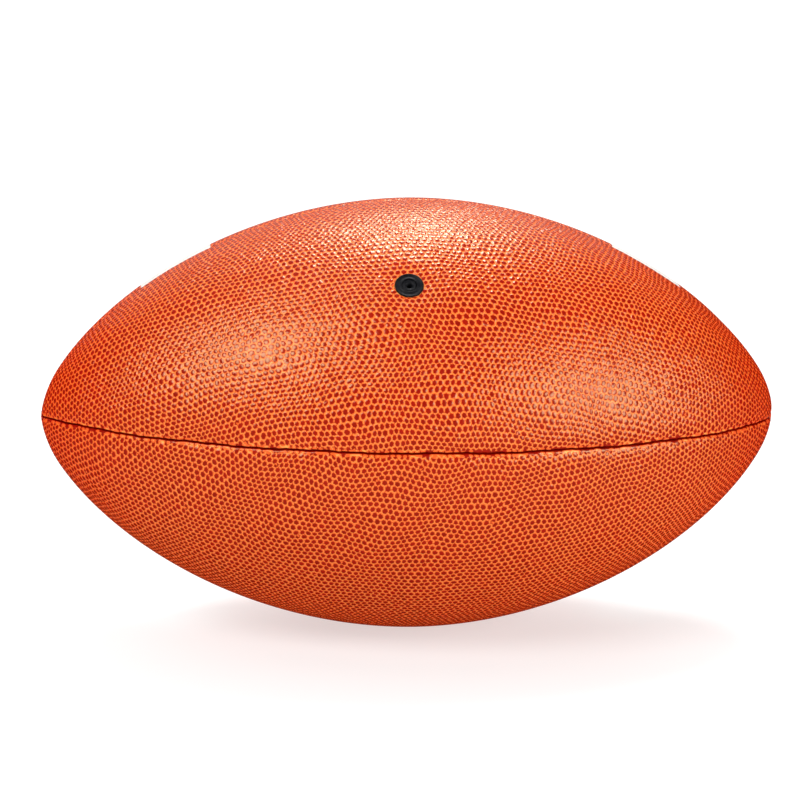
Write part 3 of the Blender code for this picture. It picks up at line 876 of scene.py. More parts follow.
@dataclass(frozen=True)
class PebbleGrain:
    """The leather's grain: flat-topped pebbles close together, with valleys between them.

    A pebble's top reaches these shares of the way from its middle to its cell's corners and
    sides. The heart is the share of the way to that rim at which the points inside it lie. On
    the panel's edge a pebble falls away between two distances from its middle, in pitches.
    """

    pitch: float = 0.00235
    jitter: float = 0.22
    drift: float = 0.0006
    drift_length: float = 0.031
    drifts: int = 3
    rim_points: int = 6
    heart_points: int = 3
    at_corner: float = 0.72
    at_side: float = 0.80
    heart: float = 0.86
    rim_height: float = 0.97
    same_height: float = 1e-4
    valley_tint: float = 0.5
    tint_seed: int = 100
    edge_reach: tuple[float, float] = (0.32, 0.48)

    def middles(self, size: tuple[float, float], seed: int) -> Numbers:
        """Sets out the pebbles' middles: rows of a lattice, each moved by chance.

        Args:
            size: The sheet's length and width, with its middle at 0, 0.
            seed: Chooses the chance shifts.

        Returns:
            The middles, by row and column. Every second row is shifted by half a pebble.
        """
        chance = np.random.default_rng(seed)
        tall = math.sqrt(3) / 2
        up = np.arange(-1, int(size[1] / self.pitch / tall) + 3)
        across = np.arange(-1, int(size[0] / self.pitch) + 3)
        row, column = np.meshgrid(up, across, indexing="ij")
        shift = np.where(row % 2 == 0, 0.0, 0.5)
        middles = np.stack([column + shift, row * tall], axis=-1)
        middles += chance.uniform(-self.jitter, self.jitter, middles.shape)
        middles = middles * self.pitch - np.array(size) / 2
        for _ in range(self.drifts):
            way = chance.uniform(-1.0, 1.0, (2, 2)) * 2 * math.pi / self.drift_length
            wave = np.sin(middles @ way + chance.uniform(0.0, 2 * math.pi, 2))
            middles = middles + self.drift * wave
        return middles

    def six_corners(self, middles: Numbers) -> Numbers:
        """Finds the corners of each inner pebble's cell, where it meets two others.

        The first two of each cell are found in no other cell's first two, and together they are
        all the corners there are.

        Args:
            middles: The pebbles' middles, by row and column.

        Returns:
            Each cell's corners, in order round it.
        """
        shifted = (np.arange(len(middles)) % 2 == 0)[1:-1, None, None]
        here, over, under = middles[1:-1, 1:-1], middles[2:], middles[:-2]
        # East, north-east, north-west, west, south-west and south-east
        near = [
            middles[1:-1, 2:],
            np.where(shifted, over[:, 2:], over[:, 1:-1]),
            np.where(shifted, over[:, 1:-1], over[:, :-2]),
            middles[1:-1, :-2],
            np.where(shifted, under[:, 1:-1], under[:, :-2]),
            np.where(shifted, under[:, 2:], under[:, 1:-1]),
        ]
        pairs = zip(near, near[1:] + near[:1])
        return np.stack([(here + one + other) / 3 for one, other in pairs], axis=2)

    def lay(self, size: tuple[float, float], seed: int) -> Grain:
        """Lays the grain on a sheet.

        Args:
            size: The sheet's length and width, with its middle at 0, 0.
            seed: Chooses the chance shifts.

        Returns:
            The grain: the rims and hearts of the pebbles' tops, and then the valleys.
        """
        middles = self.middles(size, seed)
        heart = middles[1:-1, 1:-1]
        ring = self.six_corners(middles)
        sides = (ring + np.roll(ring, -1, axis=2)) / 2
        out = heart[:, :, None, :]
        outline = [out + self.at_corner * (ring - out), out + self.at_side * (sides - out)]
        around = 2 * ring.shape[2]
        outline = np.stack(outline, 3).reshape(-1, around, 2)
        heart = heart.reshape(-1, 2)
        index = np.arange(len(heart))
        chance = np.random.default_rng(seed + self.tint_seed)
        start = chance.uniform(0.0, around / self.rim_points, len(heart))
        tint = chance.uniform(0.0, 1.0, len(heart))
        places, heights, tints = [], [], []
        rim = (self.rim_points, 1.0, self.rim_height)
        for count, pull, height in (rim, (self.heart_points, self.heart, 1.0)):
            for number in range(count):
                along = (start + number * around / count) % around
                first = along.astype(int)
                part = (along - first)[:, None]
                spot = outline[index, first % around] * (1 - part)
                spot = spot + outline[index, (first + 1) % around] * part
                places.append(heart + pull * (spot - heart))
                heights.append(np.full(len(heart), height))
                tints.append(tint)
        valley = np.concatenate([ring[:, :, :2].reshape(-1, 2), sides[:, :, :3].reshape(-1, 2)])
        places.append(valley)
        heights.append(np.zeros(len(valley)))
        tints.append(np.full(len(valley), self.valley_tint))
        return np.concatenate(places), np.concatenate(heights), np.concatenate(tints)

    def at_edge(self, grain: Grain, flat: Numbers) -> tuple[Numbers, Numbers]:
        """Reads the grain at places on the panel's edge.

        Args:
            grain: The grain on the sheet.
            flat: The places on the flat leather.

        Returns:
            How high each stands from 0 to 1, and the number of the nearest pebble.
        """
        places, heights, tints = grain
        hearts = heights == 1.0
        middles = places[hearts].reshape(self.heart_points, -1, 2).mean(axis=0)
        numbers = tints[hearts].reshape(self.heart_points, -1)[0]
        height, tint = np.empty(len(flat)), np.empty(len(flat))
        for number, spot in enumerate(flat):
            away = np.hypot(*(middles - spot).T)
            nearest = int(np.argmin(away))
            height[number] = np.interp(away[nearest] / self.pitch, self.edge_reach, [1.0, 0.0])
            tint[number] = numbers[nearest]
        return height, tint


@dataclass
class LeatherPanel:
    """One of the four leather panels, from its seam at one side to the next seam.

    Its sheet is so many half sides of the ball long, and so many quarters of its girth wide.
    """

    name: str
    first_seam: Seam
    last_seam: Seam
    ball: BallShape
    seam: SeamShape
    finish: PebbledLeather
    seed: int
    grain: PebbleGrain = PebbleGrain()
    rows: int = 320
    inner_columns: int = 4
    curl_shares: tuple[float, ...] = (0.0, 0.1, 0.35, 0.65, 1.0)
    grain_depth: float = 0.00028
    clear_of_edge: float = 0.00028
    sheet_length: float = 2.1
    sheet_width: float = 1.2
    dimples: list[tuple[Vector, float, float]] = field(default_factory=list)

    @property
    def piece_name(self) -> str:
        """The name of the finished panel."""
        return self.name.replace("panel", "leather")

    @property
    def reach(self) -> tuple[float, float]:
        """The size of the flat sheet that the panel is cut from, with some to spare."""
        width = self.sheet_width * QUARTER * self.ball.diameter / 2
        return self.sheet_length * self.ball.half_side, width

    def curl_turns(self, radius: Numbers) -> Numbers:
        """Finds the curl's points, drawn together where the ball is slim.

        Args:
            radius: The ball's radius at each row.

        Returns:
            The angles from the seam, one row of them for each radius.
        """
        full = self.seam.gap / 2 + np.array(self.curl_shares) * self.seam.curl_width
        widest = radius * math.sin(self.seam.curl_limit)
        fitted = np.minimum(1.0, widest / full[-1])
        return np.arcsin(np.clip(full[None, :] * fitted[:, None] / radius[:, None], 0.0, 1.0))

    def place(self, x: Numbers, turn: Numbers, depth: Numbers) -> Numbers:
        """Finds points of the panel.

        Args:
            x: The places along the axis.
            turn: The angles from the panel's first seam.
            depth: The depths below the ball's surface, before the seams pull the leather in.

        Returns:
            The points in the frame.
        """
        radius, s = self.ball.radius(x), self.ball.length_along(x)
        fade = np.minimum(1.0, radius / self.seam.turn_in_full)
        slim = 1 - np.exp(-((radius / self.seam.lean_from) ** 2))
        angle = self.first_seam.value + turn
        for seam, away in ((self.first_seam, turn), (self.last_seam, QUARTER - turn)):
            distance = radius * away
            depth = depth + fade * self.seam.puckers(s, distance)
            near = np.exp(-((distance / self.seam.wander_reach) ** 2))
            angle = angle + near * fade * self.seam.wandering(s, seam) / radius
            near = np.exp(-((distance / self.seam.lean_reach) ** 2)) * (1 - away / QUARTER)
            angle = angle + near * self.seam.leaning(s, seam) * slim / radius
        points = self.ball.point(x, angle, depth)
        for middle, reach, sunk in self.dimples:
            away = np.linalg.norm(points - np.array(middle), axis=-1)
            depth = depth + sunk * np.exp(-((away / reach) ** 4))
        return self.ball.point(x, angle, depth)

    def edge_loop(self, x: Numbers, curl: Numbers) -> tuple[Numbers, Numbers, Numbers]:
        """Follows the line where the edges begin to curl, by the first seam and back by the last.

        Args:
            x: The places along the axis of the rows.
            curl: The angle from the seam at which the curl begins, for each row.

        Returns:
            The places along the axis, the angles from the first seam and the places on the flat
            leather.
        """
        along = np.concatenate([x, x[::-1]])
        turn = np.concatenate([curl, (QUARTER - curl)[::-1]])
        return along, turn, self.ball.flatten(along, turn - QUARTER / 2)

    def mark(self, piece: Piece, height: Numbers, tint: Numbers, flat: Numbers) -> None:
        """Writes on the mesh what the leather's finish reads, and its UV map.

        Args:
            piece: The piece.
            height: How high each vertex stands from 0 to 1.
            tint: The number of its pebble.
            flat: Its place on the flat leather.
        """
        for name, values in (("pebble", height), ("tint", tint)):
            written = piece.data.attributes.new(name, "FLOAT", "POINT")
            written.data.foreach_set("value", values.astype(np.float32))
        write_uv(piece, flat + 0.5)

    def skin(self, x: Numbers, curl: Numbers, grain: Grain, edge: tuple[Numbers, Numbers]) -> Piece:
        """Makes the pebbled outer face, up to where the edges begin to curl.

        No operator lays such a grain, so its points are joined here into triangles.

        Args:
            x: The places along the axis of the rows at the edge.
            curl: The angle from the seam at which the curl begins, for each row.
            grain: The grain on the flat leather.
            edge: The grain's height and the pebbles' numbers at the edge.

        Returns:
            The face as a piece of its own.
        """
        flat, height, tint = grain
        along, aside = self.ball.roll_up(flat)
        room = QUARTER / 2 - np.interp(along, x, curl)
        spare = self.ball.radius(along) * np.minimum(room - np.abs(aside), 1.0)
        ends = self.ball.half_side - np.abs(self.ball.length_along(along))
        kept = (spare > self.clear_of_edge) & (ends > self.clear_of_edge)
        edge_x, edge_turn, edge_flat = self.edge_loop(x, curl)
        all_x = np.concatenate([edge_x, along[kept]])
        all_turn = np.concatenate([edge_turn, aside[kept] + QUARTER / 2])
        heights = np.concatenate([edge[0], height[kept]])
        tints = np.concatenate([edge[1], tint[kept]])
        flat = np.concatenate([edge_flat, flat[kept]])
        count = len(edge_x)
        loop = [(number, (number + 1) % count) for number in range(count)]
        spots = [Vector(spot) for spot in flat / self.grain.pitch]
        # The 1 asks for the triangles inside the loop
        _, _, faces, sources, _, _ = geometry.delaunay_2d_cdt(spots, loop, [], 1, 1e-6)
        source = np.array([given[0] for given in sources])
        depth = (1 - heights[source]) * self.grain_depth
        points = self.place(all_x[source], all_turn[source], depth)
        mesh = bpy.data.meshes.new(self.piece_name)
        mesh.from_pydata(points.tolist(), [], faces)
        piece = add_object(self.piece_name, mesh)
        self.mark(piece, heights[source], tints[source], flat[source])
        return piece

    def edge_rings(self, x: Numbers, curl: Numbers, height: Numbers) -> list[Ring]:
        """Shapes one edge, from the inner face round its turned-in flange to the curl's end.

        Args:
            x: The places along the axis of the rows.
            curl: The angles from the seam of the curl's points, a row of them for each place.
            height: The grain's height where the curl begins.

        Returns:
            The rings, in order.
        """
        seam, radius = self.seam, self.ball.radius(x)
        share = (radius - seam.turn_in_from) / (seam.turn_in_full - seam.turn_in_from)
        deep = seam.leather + seam.turn_in_least + seam.turn_in * np.clip(share, 0.0, 1.0)
        deep = np.minimum(deep, seam.turn_in_limit * radius)
        skin = np.minimum(seam.leather, seam.skin_limit * radius)
        throat = np.minimum(seam.throat, seam.throat_limit * deep)
        flange = (seam.gap / 2 + seam.leather) / (radius - deep)
        inner = curl[:, 0] + np.minimum(flange, seam.flange_limit)
        closed = curl[:, 0] * seam.closed
        drop = np.minimum(seam.curl_drop, seam.drop_limit * radius)
        bare, dyed = np.zeros(len(x)), np.ones(len(x))
        rings = [(inner, skin, bare), (inner, deep, bare)]
        # The seam's throat is marked as dark dyed leather: partly the dyed edge, partly painted
        # shade in the seam's groove.
        rings += [(closed, deep, bare), (closed, throat, dyed)]
        # The curl darkens towards the gap: partly the dyed edge, partly painted shade where the
        # edge rolls into the groove.
        for turn, share in zip(curl.T, self.curl_shares):
            rounded = drop * (1 - math.sqrt(1 - (1 - share) ** 2))
            foot = (1 - height) * self.grain_depth * share
            rings.append((turn, rounded + foot, height + (1 - height) * (1 - share) ** 3))
        return rings

    def lining_side(self, x: Numbers, curl: Numbers, edge: tuple[Numbers, Numbers]) -> Piece:
        """Makes the rest of the panel: its curled and turned-in edges and its inner face.

        Args:
            x: The places along the axis of the rows.
            curl: The angles from the seam of the curl's points, a row of them for each place.
            edge: The grain's height and the pebbles' numbers at the edge.

        Returns:
            The rest as a piece of its own.
        """
        height, tint = (np.stack([half[: len(x)], half[len(x) :][::-1]]) for half in edge)
        first, last = (self.edge_rings(x, curl, side) for side in height)
        inner, skin, bare = first[0]
        columns = [(QUARTER - turn, depth, mark) for turn, depth, mark in reversed(last)]
        width = QUARTER - 2 * inner
        for share in np.linspace(1.0, 0.0, self.inner_columns + 1)[1:-1]:
            columns.append((inner + share * width, skin, bare))
        columns += first
        turns, depths, marks = (np.stack(values, axis=1) for values in zip(*columns))
        half = len(columns) // 2
        tints = np.empty(turns.shape)
        tints[:, :half], tints[:, half:] = tint[1][:, None], tint[0][:, None]
        x_all = np.broadcast_to(x[:, None], turns.shape)
        points = self.place(x_all, turns, depths)
        flat = self.ball.flatten(x_all, turns - QUARTER / 2)
        piece, row, column = add_grid(f"{self.piece_name}_back", *(n - 1 for n in turns.shape))
        move_points(piece, points[row, column])
        self.mark(piece, marks[row, column], tints[row, column], flat[row, column])
        return piece

    def crease(self, piece: Piece) -> None:
        """Marks the rims of the pebbles' flat tops as sharp edges.

        Args:
            piece: The piece.
        """
        height = np.empty(len(piece.data.vertices), np.float32)
        piece.data.attributes["pebble"].data.foreach_get("value", height)
        ends = np.empty(len(piece.data.edges) * 2, np.int32)
        piece.data.edges.foreach_get("vertices", ends)
        on_rim = np.abs(height[ends] - self.grain.rim_height) < self.grain.same_height
        piece.data.edges.foreach_set("use_edge_sharp", on_rim.reshape(-1, 2).all(axis=1))

    def build(self, holes: Sequence[Hole]) -> None:
        """Makes the panel.

        Args:
            holes: The holes that are cut in it.
        """
        half_side = self.ball.half_side
        x = self.ball.place_along(np.linspace(-half_side, half_side, self.rows + 1))
        curl = self.curl_turns(self.ball.radius(x))
        grain = self.grain.lay(self.reach, self.seed)
        _, _, edge_flat = self.edge_loop(x, curl[:, -1])
        edge = self.grain.at_edge(grain, edge_flat)
        piece = self.skin(x, curl[:, -1], grain, edge)
        rest = self.lining_side(x, curl, edge)
        choose(piece)
        rest.select_set(True)
        bpy.ops.object.join()
        close_up(piece, merge=1e-6)
        if holes:
            cut_holes(piece, holes)
        piece.data.shade_smooth()
        self.crease(piece)
        finish_piece(piece, self.finish, [self.name])


@dataclass
class Valve:
    """The inflation valve: a rubber head let into the leather and the plug in its middle."""

    ball: BallShape
    from_middle: float = -0.0075
    angle: float = Seam.TOP.value + QUARTER / 2 + 0.0085
    sunk: float = 0.00025
    aim_depth: float = 0.001
    head_radius: float = 0.0053
    stem_radius: float = 0.0042
    flange_radius: float = 0.0070
    plug_radius: float = 0.0027
    needle_radius: float = 0.0011
    narrowed: float = 0.9
    foot: float = -0.0075
    clearance: float = 0.00012
    hole_ends: tuple[float, float] = (0.003, -0.006)
    dimple_reach: float = 0.0080
    dimple_depth: float = 0.00060
    turns: int = 72
    sharp_from: float = math.radians(50)

    def matrix(self) -> Matrix:
        """Finds the valve's place.

        Returns:
            The matrix, with Z out of the ball.
        """
        x, angle = np.array([self.from_middle]), np.array([self.angle])
        top = Vector(self.ball.point(x, angle, np.array([self.sunk]))[0])
        below = Vector(self.ball.point(x, angle, np.array([self.aim_depth]))[0])
        out = (top - below).normalized()
        side = out.cross(Vector(LENGTHWISE)).normalized()
        turn = Matrix((side.cross(out), side, out)).transposed().to_4x4()
        return Matrix.Translation(top) @ turn

    def hole(self) -> Hole:
        """The hole in the leather for the valve's head."""
        start, end = (self.matrix() @ Vector((0, 0, height)) for height in self.hole_ends)
        return start, end, self.head_radius + self.clearance

    def dimple(self) -> tuple[Vector, float, float]:
        """The dimple in the leather round the valve: its middle, its reach and its depth."""
        return self.matrix().translation, self.dimple_reach, self.dimple_depth

    def turned(self, name: str, outline: Sequence[tuple[float, float]]) -> Piece:
        """Makes a turned piece.

        Args:
            name: The piece's name.
            outline: Its half section, as radius and height, from the wall of its hole over the
                top and round to the foot.

        Returns:
            The piece, in place on the ball.
        """
        radius, height = outline[0]
        bpy.ops.object.select_all(action="DESELECT")
        bpy.ops.mesh.primitive_circle_add(vertices=self.turns, radius=radius, fill_type="NOTHING")
        piece = new_piece(name)
        choose(piece)
        bpy.ops.object.mode_set(mode="EDIT")
        bpy.ops.mesh.select_all(action="SELECT")
        bpy.ops.transform.translate(value=(0, 0, height))
        for (radius, height), (next_radius, next_height) in zip(outline, outline[1:]):
            rise = {"value": (0, 0, next_height - height)}
            bpy.ops.mesh.extrude_edges_move(TRANSFORM_OT_translate=rise)
            grow = next_radius / radius
            bpy.ops.transform.resize(value=(grow, grow, 1.0), center_override=(0, 0, next_height))
        close_up(piece, merge=1e-7)
        piece.data.transform(self.matrix())
        piece.data.shade_smooth()
        piece.data.set_sharp_from_angle(angle=self.sharp_from)
        return piece

    def build(self) -> None:
        """Makes the valve's head and plug."""
        head, stem, flange = self.head_radius, self.stem_radius, self.flange_radius
        plug, needle, foot = self.plug_radius, self.needle_radius, self.foot
        bore, throat = plug + self.clearance, needle * self.narrowed
        head_outline = [
            (bore, -0.0012),
            (bore, -0.00012),
            (bore + 0.00010, 0.00002),
            (bore + 0.00030, 0.00006),
            (bore + 0.00055, -0.00004),
            (bore + 0.00075, -0.00022),
            (head - 0.00095, -0.00022),
            (head - 0.00065, -0.00008),
            (head - 0.00035, 0.00006),
            (head - 0.00012, 0.00002),
            (head, -0.00016),
            (head, -0.0015),
            (stem, -0.0016),
            (stem, -0.0048),
            (flange, -0.0049),
            (flange, -0.0058),
            (bore, -0.0059),
            (bore, -0.0012),
        ]
        plug_outline = [
            (throat, foot),
            (throat, -0.0011),
            (needle, -0.0008),
            (needle + 0.00025, -0.00042),
            (needle + 0.00060, -0.00028),
            (plug - 0.00040, -0.00024),
            (plug - 0.00012, -0.00030),
            (plug, -0.00050),
            (plug, -0.0072),
            (plug - 0.0004, foot - 0.0004),
            (throat, foot - 0.0004),
        ]
        rubber = Rubber()
        head_piece = self.turned("valve_head", head_outline)
        finish_piece(head_piece, rubber, ["valve_housing"])
        plug_piece = self.turned("valve_plug", plug_outline)
        finish_piece(plug_piece, rubber, ["valve_core"])


@dataclass
class Lace:
    """The lace: it runs along the slit, dives through the end holes and crosses the slit."""

    ball: BallShape
    crosses: int = 8
    pitch: float = 0.0136
    width: float = 0.0068
    width_at_bend: float = 0.0058
    width_in_hole: float = 0.0036
    thickness: float = 0.0014
    bend: float = 0.0014
    hole_from_seam: float = 0.009
    hole_radius: float = 0.0024
    hole_ends: tuple[float, float] = (0.003, -0.0052)
    end_hole_from_cross: float = 0.0095
    run_depth: float = 0.0061
    leather: float = 0.0016
    gap: float = 0.0003
    cross_gap: float = 0.0002
    squeeze: float = 0.0001
    spread: float = 0.0006
    steps: int = 6
    sides: int = 20
    edge_power: float = 0.35
    face_power: float = 0.6

    def __post_init__(self) -> None:
        """Works out the heights and lengths that the route uses."""
        self.low = self.gap + self.thickness / 2
        self.high = self.low + self.thickness + self.cross_gap
        self.last_cross = (self.crosses - 1) / 2 * self.pitch
        self.end_hole = self.last_cross + self.end_hole_from_cross

    def point(self, x: float, distance: float, height: float) -> Numbers:
        """Finds a point beside the slit.

        Args:
            x: Its place along the axis.
            distance: Its distance from the seam's plane, upwards.
            height: Its height above the ball's surface.

        Returns:
            The point in the frame.
        """
        radius = self.ball.radius(np.array([x]))[0] + height
        angle = math.asin(distance / radius)
        return self.ball.point(np.array([x]), np.array([angle]), np.array([-height]))[0]

    def cross_places(self) -> list[float]:
        """Where the lace crosses the slit."""
        return [self.last_cross - number * self.pitch for number in range(self.crosses)]

    def holes(self, side: int) -> list[Hole]:
        """Places the holes in the panel on one side of the slit.

        Args:
            side: 1 for the upper panel and -1 for the lower one.

        Returns:
            The holes, with the end holes, which both panels share.
        """
        places = [(x, side * self.hole_from_seam) for x in self.cross_places()]
        places += [(-self.end_hole, 0.0), (self.end_hole, 0.0)]
        holes = []
        for x, distance in places:
            start, end = (Vector(self.point(x, distance, height)) for height in self.hole_ends)
            holes.append((start, end, self.hole_radius))
        return holes

    def route(self) -> list[tuple[float, float, float, float, float]]:
        """Lists the points of the lace's route.

        Returns:
            For each point its place along the ball, its distance from the seam's plane, its height
            above the surface, the lace's width there and how that width lies.
        """
        narrow, wide, bend, hole = self.width_in_hole, self.width, self.bend, self.hole_from_seam
        bent = self.width_at_bend
        deep, low, high, shallow = -self.run_depth, self.low, self.high, -self.leather
        end, last, half_pitch = self.end_hole, self.last_cross, self.pitch / 2
        across, turning, along = Lie.CROSSING.value, Lie.TURNING.value, Lie.RUNNING.value
        route = [
            (half_pitch - end, 0.0, deep, narrow, along),
            (bend - end, 0.0, deep, narrow, along),
            (-end, 0.0, deep + bend, narrow, along),
            (-end, 0.0, shallow, narrow, along),
            (bend - end, 0.0, low, bent, along),
            (3 * bend - end, 0.0, low, wide, along),
        ]
        route += [(x, 0.0, low, wide, along) for x in reversed(self.cross_places())]
        route += [
            (end - 3 * bend, 0.0, low, wide, along),
            (end - bend, 0.0, low, bent, along),
            (end, 0.0, shallow, narrow, along),
            (end, 0.0, deep + bend, narrow, along),
            (end - bend, bend, deep, narrow, along),
            (last + 2 * bend, hole - bend, deep, narrow, along),
            (last + bend, hole, deep, narrow, along),
        ]
        climb = [
            (hole, deep + bend, narrow, turning),
            (hole, shallow, narrow, across),
            (hole - self.squeeze, low / 2, narrow + self.spread, across),
            (hole - bend, low + bend / 3, bent, across),
            (hole / 2, high - bend / 4, wide, across),
        ]
        for number, x in enumerate(self.cross_places()):
            side = 1 if number % 2 == 0 else -1
            route += [(x, side * distance, *rest) for distance, *rest in climb]
            route.append((x, 0.0, high, wide, across))
            route += [(x, -side * distance, *rest) for distance, *rest in reversed(climb)]
            steps = [bend, half_pitch, self.pitch - bend]
            for step in steps if number < self.crosses - 1 else steps[:2]:
                route.append((x - step, -side * hole, deep, narrow, along))
        return route

    def width_ways(self, points: Numbers, lies: Iterable[float]) -> Numbers:
        """Works out which way the lace's width points along its route.

        Args:
            points: The route's points.
            lies: How the width lies at each.

        Returns:
            The ways, square to the route and never turned over from one point to the next.
        """
        ahead = unit(np.gradient(points, axis=0))
        lengthwise, ways = np.array(LENGTHWISE), []
        for point, forward, lie in zip(points, ahead, lies):
            out = unit((point - np.array(self.ball.centre)) * np.array([0.0, 1.0, 1.0]))
            wanted = lengthwise * (1 - lie) + np.cross(out, lengthwise) * lie
            way = unit(wanted - wanted @ forward * forward)
            ways.append(-way if ways and way @ ways[-1] < 0 else way)
        return np.array(ways)

    def smooth(self, values: Numbers) -> Numbers:
        """Fills in rows between the given ones, on a smooth curve through them.

        Args:
            values: The given rows.

        Returns:
            The given rows and the new ones, in order.
        """
        before = np.concatenate([values[:1], values[:-1]])[:-1]
        after = np.concatenate([values[1:], values[-1:]])[1:]
        first, last = values[:-1], values[1:]
        rows = []
        for t in np.linspace(0.0, 1.0, self.steps, endpoint=False):
            a = -0.5 * t + t**2 - 0.5 * t**3
            b = 1 - 2.5 * t**2 + 1.5 * t**3
            c = 0.5 * t + 2 * t**2 - 1.5 * t**3
            d = 0.5 * (t**3 - t**2)
            rows.append(a * before + b * first + c * last + d * after)
        filled = np.stack(rows, axis=1).reshape(-1, values.shape[-1])
        return np.concatenate([filled, values[-1:]])

    def section(self) -> Numbers:
        """Draws the rounded outline of the flat lace.

        Returns:
            Its points, from -1 to 1 in width and in thickness. The last is the first again.
        """
        angle = 2 * math.pi * (np.arange(self.sides) + 0.5) / self.sides
        wide, thick = np.cos(angle), np.sin(angle)
        wide = np.sign(wide) * np.abs(wide) ** self.edge_power
        thick = np.sign(thick) * np.abs(thick) ** self.face_power
        outline = np.stack([wide, thick], -1)
        return np.concatenate([outline, outline[:1]])

    def build(self) -> None:
        """Makes the lace as one swept piece."""
        route = self.route()
        points = np.array([self.point(x, distance, height) for x, distance, height, _, _ in route])
        ways = self.width_ways(points, [lie for *_, lie in route])
        widths = np.array([[width] for *_, width, _ in route])
        dense = self.smooth(np.concatenate([points, ways, widths], axis=1))
        centres, across, width = dense[:, :3], dense[:, 3:6], dense[:, 6:7]
        ahead = unit(np.gradient(centres, axis=0))
        across = unit(across - np.sum(across * ahead, axis=1, keepdims=True) * ahead)
        through = np.cross(ahead, across)
        section = self.section()
        rings = (
            centres[:, None, :]
            + (across * width / 2)[:, None, :] * section[None, :, :1]
            + (through * self.thickness / 2)[:, None, :] * section[None, :, 1:]
        )
        piece, row, column = add_grid("lace_white", *(size - 1 for size in rings.shape[:2]))
        move_points(piece, rings[row, column])
        run = np.concatenate([[0.0], np.cumsum(np.linalg.norm(np.diff(centres, axis=0), axis=1))])
        around = np.linspace(0.0, 2 * (self.width + self.thickness), rings.shape[1])
        write_uv(piece, np.stack([run[row], around[column]], axis=-1))
        close_up(piece, merge=1e-7)
        piece.data.shade_smooth()
        finish_piece(piece, WhiteLace(), ["lace"])


def thread(name: str, light: Colour, dark: Colour) -> WovenCotton:
    """The finish of a waxed thread."""
    return WovenCotton(name=name, light=light, dark=dark, pitch=0.0006)


@dataclass
class InnerPieces:
    """The pieces inside the ball, which keep the frame's own shapes and get their finishes."""

    finishes: dict[str, Finish] = field(
        default_factory=lambda: {
            "lining": WovenCotton(),
            "bladder": Rubber(name="bladder_rubber", roughness=0.45, grain_scale=1200.0),
            "valve_patch": Rubber(name="patch_rubber", roughness=0.5, grain_scale=2000.0),
            "lace_facing": RawLeather(),
            "lace_tongue": RawLeather(),
            "needle_thread": thread(
                "waxed_needle_thread", (0.20, 0.07, 0.04, 1), (0.09, 0.025, 0.015, 1)
            ),
            "bobbin_thread": thread(
                "waxed_bobbin_thread", (0.16, 0.06, 0.035, 1), (0.07, 0.022, 0.014, 1)
            ),
        }
    )

    def dress(self) -> None:
        """Gives each node inside the ball the finish of its kind."""
        for name, node in sorted(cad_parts.items()):
            for start, finish in self.finishes.items():
                if name.startswith(start):
                    node.data.materials.clear()
                    node.data.materials.append(finish.material())
                    LOG.info("%s: %s", name, finish.name)


@dataclass
class Football:
    """The whole ball."""

    ball: BallShape = field(default_factory=BallShape)
    seam: SeamShape = field(default_factory=SeamShape)

    def build(self) -> None:
        """Builds the panels, the valve and the lace, and dresses what is inside."""
        valve, lace = Valve(self.ball), Lace(self.ball)
        bare, striped = PebbledLeather(), PebbledLeather(paint=Paint.STRIPED)
        sides = [
            ("panel_back_upper", Seam.BACK, Seam.TOP, striped, lace.holes(1)),
            ("panel_front_upper", Seam.TOP, Seam.FRONT, bare, [valve.hole()]),
            ("panel_front_lower", Seam.FRONT, Seam.BOTTOM, bare, []),
            ("panel_back_lower", Seam.BOTTOM, Seam.BACK, striped, lace.holes(-1)),
        ]
        for seed, (name, first, last, finish, holes) in enumerate(sides):
            panel = LeatherPanel(name, first, last, self.ball, self.seam, finish, seed)
            if first is Seam.TOP:
                panel.dimples.append(valve.dimple())
            panel.build(holes)
        valve.build()
        lace.build()
        InnerPieces().dress()


# The studio


@dataclass
class Lamp:
    """A soft lamp far off. Its spread is how wide it looks from the ball, in degrees."""

    name: str
    direction: tuple[float, float, float]
    spread: float
    power: float
    mirrored: bool = True
    distance: float = 2.0

    def build(self, target: Vector) -> None:
        """Hangs the lamp and turns it to the ball.

        Args:
            target: The ball's centre.
        """
        light = bpy.data.lights.new(self.name, "SUN")
        light.angle = math.radians(self.spread)
        light.energy = self.power
        lamp = add_object(self.name, light)
        toward = Vector(self.direction).normalized()
        lamp.location = target + toward * self.distance
        lamp.rotation_euler = toward.to_track_quat("Z", "Y").to_euler()
        lamp.visible_glossy = self.mirrored


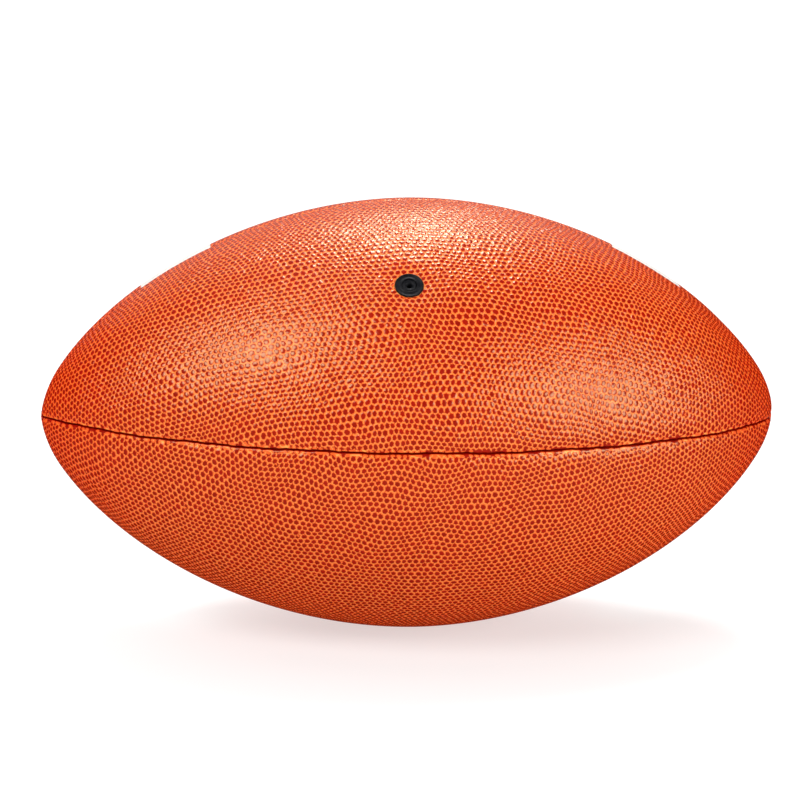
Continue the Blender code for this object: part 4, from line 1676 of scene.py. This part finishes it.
@dataclass
class Studio:
    """The floor, the lamps and the camera.

    The camera's offset from the ball's centre is to the right, ahead and up, as it looks.
    """

    ball: BallShape
    elevation: float = math.radians(10.18)
    yaw: float = math.radians(6.0)
    roll: float = math.radians(-0.55)
    camera_offset: tuple[float, float, float] = (-0.00415, -1.16853, 0.004706)
    lens: float = 134.2
    sensor: float = 36.0
    sight: float = 200.0
    world: float = 0.25
    floor_size: float = 60.0

    def camera(self) -> None:
        """Sets up the camera from its turn about the ball and its offset from the centre."""
        tilt = Matrix.Rotation(self.elevation, 3, "X")
        turn = Matrix.Rotation(self.yaw, 3, "Z")
        view = Matrix.Rotation(self.roll, 3, "Y") @ turn @ tilt
        right, ahead, up = (Vector(row) for row in view)
        data = bpy.data.cameras.new("camera")
        data.lens = self.lens
        data.sensor_width = self.sensor
        data.clip_end = self.sight
        camera = add_object("camera", data)
        place = self.ball.centre + view.transposed() @ Vector(self.camera_offset)
        turned = Matrix((right, up, -ahead)).transposed().to_4x4()
        camera.matrix_world = Matrix.Translation(place) @ turned
        bpy.context.scene.camera = camera

    def floor(self) -> None:
        """Lays the floor, which no gloss on the ball mirrors."""
        bpy.ops.object.select_all(action="DESELECT")
        bpy.ops.mesh.primitive_plane_add(size=self.floor_size, location=(0, 0, 0))
        floor = new_piece("floor")
        floor.data.materials.append(PaleFloor().material())
        floor.visible_glossy = False

    def light(self) -> None:
        """Hangs the lamps and sets the even light all round."""
        lamps = [
            Lamp("top_lamp", (0.095, 0.46, 0.88), 18.0, 1.4),
            Lamp("left_lamp", (-0.578, -0.485, 0.656), 34.0, 1.7),
            Lamp("right_lamp", (0.760, -0.590, 0.290), 34.0, 1.45),
            Lamp("front_lamp", (0.0, -0.72, 0.70), 100.0, 0.10, mirrored=False),
            Lamp("overhead_lamp", (-0.1, 0.6, 0.8), 90.0, 1.6, mirrored=False),
            Lamp("back_lamp", (0.0, 0.80, 0.56), 60.0, 0.3),
        ]
        for lamp in lamps:
            lamp.build(self.ball.centre)
        world = bpy.data.worlds.new("studio")
        world.use_nodes = True
        background = world.node_tree.nodes["Background"]
        background.inputs["Color"].default_value = (1, 1, 1, 1)
        background.inputs["Strength"].default_value = self.world
        bpy.context.scene.world = world
        world.cycles_visibility.glossy = False
        bpy.context.scene.view_settings.view_transform = "Standard"

    def build(self) -> None:
        """Builds the studio."""
        self.floor()
        self.light()
        self.camera()


def main() -> None:
    logging.basicConfig(level=logging.INFO, format="%(name)s: %(message)s")
    football = Football()
    football.build()
    Studio(football.ball).build()


if __name__ == "__main__":
    main()
